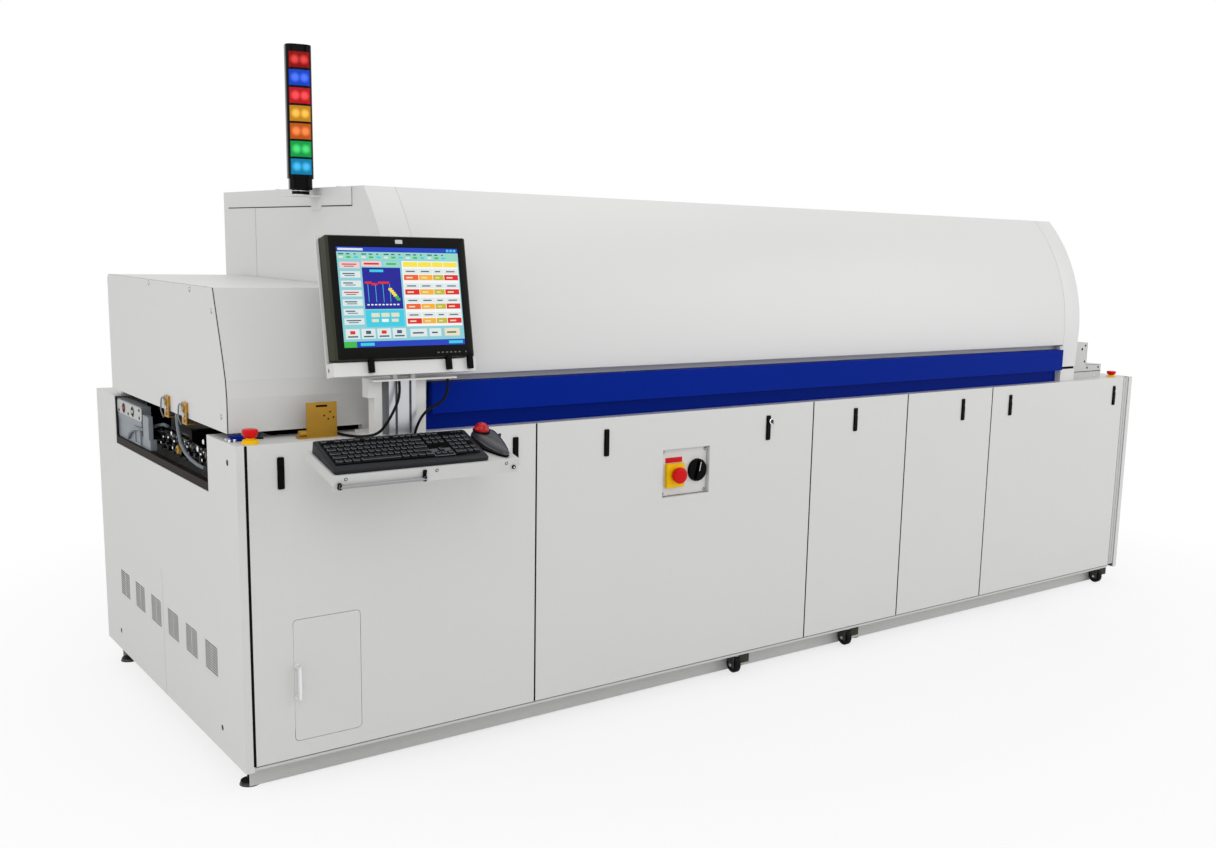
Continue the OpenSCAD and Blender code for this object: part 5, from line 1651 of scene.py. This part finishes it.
    def _trackball(self, shop: Workshop) -> None:
        """Builds the trackball's long domed shell and its polished ball."""
        shell = Maker("trackball_shell", self.frame())
        for rings, coat in (((2.5, 0.4), (0.0, 3.0), (0.0, 8.0)), Coat.BLACK), (
                ((0.2, 8.2), (0.0, 16.0), (1.2, 24.0), (4.2, 31.0), (9.0, 36.0), (15.0, 39.0),
                 (22.0, 40.6)), Coat.MOUSE):
            shell.loft([self._shell_ring(inset, lift) for inset, lift in rings], coat)
        x, y, z = self.ball
        shell.lathe((x, y, z - 2), UP, [(22.9, -4), (25.5, -1.5), (25.2, 0.8), (23.4, 1.8),
                                        (22.7, 0.5), (22.9, -4)], Coat.GLOSS_BLACK, 48)
        shell.done(shop, "tray", ["trackball_body"])
        shop.clone("trackball_red", "trackball_ball", Coat.BALL, "trackball_ball")

    def _shell_ring(self, inset: float, lift: float) -> list[Vector]:
        """Returns one outline of the shell, lower and narrower towards its front.

        Args:
            inset: how far it lies inside the widest outline.
            lift: its height at the rear.

        Returns:
            The points of the outline.
        """
        middle, widest, half, nose = self.shell
        ring = []
        for c, s in circle(56):
            ahead = max(0.0, -s)
            x = middle + (half - inset) * c * (1 - 0.3 * ahead ** 1.4) + 12 * ahead ** 1.3
            y = widest + ((half - inset) * s if s > 0 else (nose - inset * 1.6) * s)
            share = min(1.0, max(0.0, (y - 11) / 150))
            keep = 0.52 + 0.48 * (3 * share ** 2 - 2 * share ** 3)
            share = keep if lift > 9 else 0.9 + 0.1 * keep
            ring.append(Vector((x, y, 0.4 + (lift - 0.4) * share)))
        return ring

    def _fittings(self, shop: Workshop) -> None:
        """Adds the chrome rod, its black clip, the rubber buffer and the screws."""
        piece = Maker("tray_fittings", self.frame())
        piece.rod((17.2, -8, -30), RIGHT, 4.5, 251, Coat.ROD, 0.6, 28)
        for x in (18, 262):
            piece.box((x - 4.5, x + 4.5), (-12.1, -0.2), (-37.2, -20.4), Coat.BLACK, 1.4)
        piece.box((257, 267), (-6, -0.2), (-20, -6), Coat.BLACK, 1.2)
        piece.rod((self.width - 16, -0.3, -24), FRONT, 6, 5, Coat.RUBBER, 1.2, 28)
        piece.rod((self.width - 16, -5.2, -24), FRONT, 2.4, 0.8, Coat.CHROME, 0.3, 20)
        piece.box((self.width + 0.1, self.width + 3), (120, 150), (-14, -1), Coat.BLACK, 1)
        for x in (36, 300, 520):
            piece.screw((x, -0.2, -12), FRONT, Coat.STEEL, 3.4)
        piece.done(shop, "tray")


@dataclass
class NotchGear:
    """What shows in the board notch: sockets, ducts, chains, hoses and brackets."""

    socket_y: tuple = (1163.0, 1053.0)
    socket_z: float = 977.0
    floor: float = 876.0
    bracket_y: tuple = (448.0, 628.0)
    wheels: tuple = ((380, 20), (452, 26), (520, 17), (585, 24), (655, 19), (722, 26), (790, 18),
                     (850, 22), (905, 16))
    valves: tuple = ((420, 44), (488, 36), (620, 40), (688, 46), (757, 38), (822, 42), (880, 36))

    def build(self, shop: Workshop) -> None:
        """Builds the gear and dresses the CAD pieces in the notch."""
        shop.dress(["notch_lip"], Coat.LIP)
        shop.dress(["junction_box"], Coat.DUCT)
        shop.dress(["brass_brackets"], Coat.BRASS)
        # Painted shade: the conveyor frame, rail and drive shaft are painted near black so the
        # notch interior reads dark.
        shop.dress(["conveyor_frame", "moving_rail", "drive_shaft"], Coat.INTERIOR_SHADE)
        shop.dress(["lead_screw"], Coat.STEEL)
        shop.dress(["notch_cables"], Coat.GREY_CABLE)
        self._plate(shop)
        self._sockets(shop)
        self._drive(shop)
        self._hoses(shop)

    @staticmethod
    def _plate(shop: Workshop) -> None:
        """Adds the brass plate's slot and small holes on the deck as dark marks of painted shade,
        and its rivets.
        """
        piece = Maker("plate_details")
        # Painted shade: a thin dark sheet stands in for the shaded slot, and dark discs below for
        # the holes.
        piece.box((242, 280), (47.1, 47.5), (1099, 1109), Coat.SHADE_WELL, 0)
        for x, z in ((286, 1086), (268, 1076), (296, 1070), (280, 1066)):
            piece.lathe((x, 44, z), FRONT, [(0, -0.2), (2.6, -0.2), (2.6, 0.4), (0, 0.6)],
                        Coat.SHADE_WELL, 16)
        for x in (226, 296):
            piece.lathe((x, 44, 1026), FRONT, [(0, -0.2), (4, -0.2), (4, 1), (0, 1.8)],
                        Coat.BRASS, 20)
        piece.done(shop, "cabinet")

    def _sockets(self, shop: Workshop) -> None:
        """Adds the face of the junction box with two sockets, and the duct's frame."""
        piece = Maker("socket_face")
        turn = Matrix(((0, 0, -1), (1, 0, 0), (0, 1, 0))).to_4x4()
        outline = round_rect(948, 957, 1248, 1003, 12)
        piece.slab(outline, 2.4, Coat.SOCKET_FACE, 0.8, Matrix.Translation((9.9, 0, 0)) @ turn)
        for y, core in zip(self.socket_y, (Coat.RED, Coat.WHITE)):
            piece.lathe((8.2, y, self.socket_z + 3), LEFT,
                        [(0, 0), (18, 0), (18, 1.2), (16.5, 2.4), (14.5, 2.6), (14, 1.4), (0, 1.4)],
                        Coat.GREY_PLASTIC, 40)
            piece.lathe((6.7, y, self.socket_z + 3), LEFT,
                        [(0, 0), (13.6, 0), (13.6, 0.5), (0, 0.5)], Coat.GASKET_AND_SHADE, 36)
            piece.lathe((6.2, y, self.socket_z + 3), LEFT, [(0, 0), (6, 0), (5, 1.6), (0, 1.8)],
                        core, 24)
        for y, z in ((1226, 966), (1108, 966), (972, 968), (972, 994)):
            piece.screw((7.4, y, z), LEFT, Coat.DARK_STEEL, 4.5)
        for y0, y1, z0, z1 in ((976, 1046, 928, 935), (976, 1046, 874, 881), (976, 983, 881, 928),
                               (1039, 1046, 881, 928)):
            piece.box((8.6, 12), (y0, y1), (z0, z1), Coat.DUCT, 1)
        piece.done(shop, "cabinet")

    def _drive(self, shop: Workshop) -> None:
        """Adds the chain wheels, chain and valves on their low carrier plate."""
        piece = Maker("chain_drive")
        z = self.floor
        piece.box((62, 66), (346, 940), (z, 936), Coat.OILED, 1)
        for number, (y, r) in enumerate(self.wheels):
            middle = z + 30 - (number % 2) * 4
            reach = 48 if 440 < y < 600 else 40
            piece.lathe((62, y, middle), LEFT, [(0, 0), (r, 0), (r, 4), (r - 5, 5), (r - 6, 3),
                                                (7, 3), (7, 62 - reach), (0, 62 - reach)],
                        Coat.OILED, 32)
            for c, s in circle(14):
                piece.rod((61.5, y + (r + 1) * c, middle + (r + 1) * s), LEFT, 2.2, 3,
                          Coat.DARK_STEEL, 0.4, 8)
            piece.lathe((reach + 0.4, y, middle), LEFT,
                        [(0, 0), (5, 0), (5, 1.5), (3, 2.5), (0, 2.5)],
                        Coat.CHROME if number % 2 else Coat.OILED, 16)
        for k in range(56):
            y = 352 + k * 10.4
            sag = 3.5 * math.sin(k * 0.55)
            piece.box((52, 60) if k % 2 else (54, 58), (y, y + 8), (z + 52 + sag, z + 57.5 + sag),
                      Coat.DARK_STEEL if k % 3 else Coat.CHROME, 1.2)
        for number, (y, height) in enumerate(self.valves):
            piece.rod((57, y, z), UP, 7, height, Coat.OILED, 1.5, 20)
            piece.rod((57, y, z + height), UP, 4.5, 7, Coat.CHROME if number else Coat.BRASS,
                      1, 16)
        piece.lathe((44, 655, z + 30), LEFT, [(0, 0), (15, 0), (15, 9), (10, 12), (7, 12), (7, 4),
                                              (0, 4)], Coat.BRASS, 6)
        for y, height, r in ((668, 92, 15), (478, 58, 9), (420, 88, 8), (742, 70, 7)):
            piece.lathe((46, y, z + height), LEFT, [(0, 0), (r, 0), (r, 3), (r - 3, 5), (0, 5)],
                        Coat.STEEL if r > 10 else Coat.CHROME, 28)
        piece.done(shop, "cabinet")

    def _hoses(self, shop: Workshop) -> None:
        """Adds the thin hoses and nuts on the two sensor brackets."""
        piece = Maker("bracket_hoses")
        for y in self.bracket_y:
            points = [(3, y + 22, 1052), (2.8, y + 30, 1064), (3.5, y + 48, 1072),
                      (5, y + 70, 1066), (6, y + 82, 1046), (7.5, y + 86, 1024),
                      (14, y + 84, 1004)]
            piece.tube(points, 2.4, Coat.GREY_CABLE, 10)
            for z, r in ((1062, 6.5), (1042, 8), (1024, 6)):
                piece.lathe((5, y + 22, z), LEFT, [(0, 0), (r, 0), (r, 3), (r - 2, 4), (0, 4)],
                            Coat.BRASS if z != 1042 else Coat.STEEL, 6 if z == 1024 else 24)
        piece.done(shop, "cabinet")


class Studio:
    """Soft even light, pale floor and a white background.

    Each lamp has a name, its place, the point it looks at, its side in metres and its watts.
    """

    floor_half = 30.0
    lamps = (("side", (-4300, 300, 2700), (0, 700, 800), 3.6, 50),
             ("key", (-1200, -4200, 3900), (1500, 200, 900), 4.2, 74),
             ("fill", (6600, -4200, 3000), (2600, 100, 700), 4.5, 104),
             ("top", (2100, 600, 5200), (2100, 600, 0), 5.0, 55))

    def build(self, shop: Workshop) -> None:
        """Makes the world, the floor and the lamps."""
        self._world()
        self._floor()
        for lamp in self.lamps:
            self._lamp(shop, *lamp)

    @staticmethod
    def _background(graph: Graph) -> bpy.types.NodeSocket:
        """Returns a value that is 1 for rays that see the background."""
        seen = graph.add("LightPath", "Is Camera Ray")
        rays = seen.node.outputs
        return graph.fold("MAXIMUM", seen, rays["Is Glossy Ray"], rays["Is Transmission Ray"])

    def _world(self) -> None:
        """Builds the world: soft light, and plain white where it is seen."""
        world = bpy.data.worlds.new("studio")
        bpy.context.scene.world = world
        world.use_nodes = True
        graph = Graph(world.node_tree)
        graph.tree.nodes.clear()
        white = {"Color": (1, 1, 1, 1)}
        soft = graph.add("Background", "Background", values={**white, "Strength": 0.6})
        plain = graph.add("Background", "Background", values=white)
        mix = graph.add("MixShader", "Shader", {"Fac": self._background(graph), 1: soft, 2: plain})
        graph.feed(graph.tree.nodes.new("ShaderNodeOutputWorld"), {"Surface": mix})

    def _floor(self) -> None:
        """Builds the pale floor, which keeps the oven's shadow."""
        mesh = bpy.data.meshes.new("floor")
        half = self.floor_half
        mesh.from_pydata([(-half, -half, 0), (half, -half, 0), (half, half, 0), (-half, half, 0)],
                         [], [(0, 1, 2, 3)])
        floor = put("floor", mesh)
        material = bpy.data.materials.new("floor_white")
        material.use_nodes = True
        graph = Graph(material.node_tree)
        graph.tree.nodes.clear()
        matt = graph.add("BsdfDiffuse", "BSDF", values={"Color": (0.86, 0.86, 0.87, 1)})
        white = graph.add("Emission", "Emission")
        reach = graph.add("VectorMath", "Value", {0: graph.add("TexCoord", "Object")},
                          operation="LENGTH")
        fade = graph.add("MapRange", "Result", {"Value": reach},
                         {"From Min": 1.6, "From Max": 3.4, "To Min": 0.7})
        share = graph.fold("MULTIPLY", self._background(graph), fade)
        mix = graph.add("MixShader", "Shader", {"Fac": share, 1: matt, 2: white})
        graph.feed(graph.tree.nodes.new("ShaderNodeOutputMaterial"), {"Surface": mix})
        mesh.materials.append(material)

    @staticmethod
    def _lamp(shop: Workshop, name: str, place: Point, target: Point, size: float,
              power: float) -> None:
        """Adds one large soft lamp.

        Args:
            shop: the workshop.
            name: the lamp's name.
            place: its place in working millimetres.
            target: the point that it looks at.
            size: its side in metres.
            power: its power in watts.
        """
        data = bpy.data.lights.new(name, "AREA")
        data.shape, data.size, data.energy = "SQUARE", size, power
        lamp = put(name, data)
        lamp.location = shop.datum.at(*place)
        lamp.rotation_mode = "QUATERNION"
        aim = shop.datum.at(*target) - lamp.location
        lamp.rotation_quaternion = aim.to_track_quat("-Z", "Y")


def main() -> None:
    """Builds the whole scene around the frame."""
    logging.basicConfig(level=logging.INFO, format="%(name)s %(message)s")
    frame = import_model()
    shop = Workshop(frame, Datum(), Paintbox())
    Viewpoint().build(shop.datum)
    Cords().build(shop)
    for assembly in (Studio(), Cabinet(), Hood(), Latches(), Switches(), LightTower(), Display(),
                     OperatorTray(), NotchGear()):
        assembly.build(shop)
    shop.dress(["post_extrusion"], Coat.ALUMINIUM)
    shop.dress(["monitor_post", "monitor_bracket"], Coat.WHITE)
    bpy.context.scene.view_settings.view_transform = "Standard"


if __name__ == "__main__":
    main()
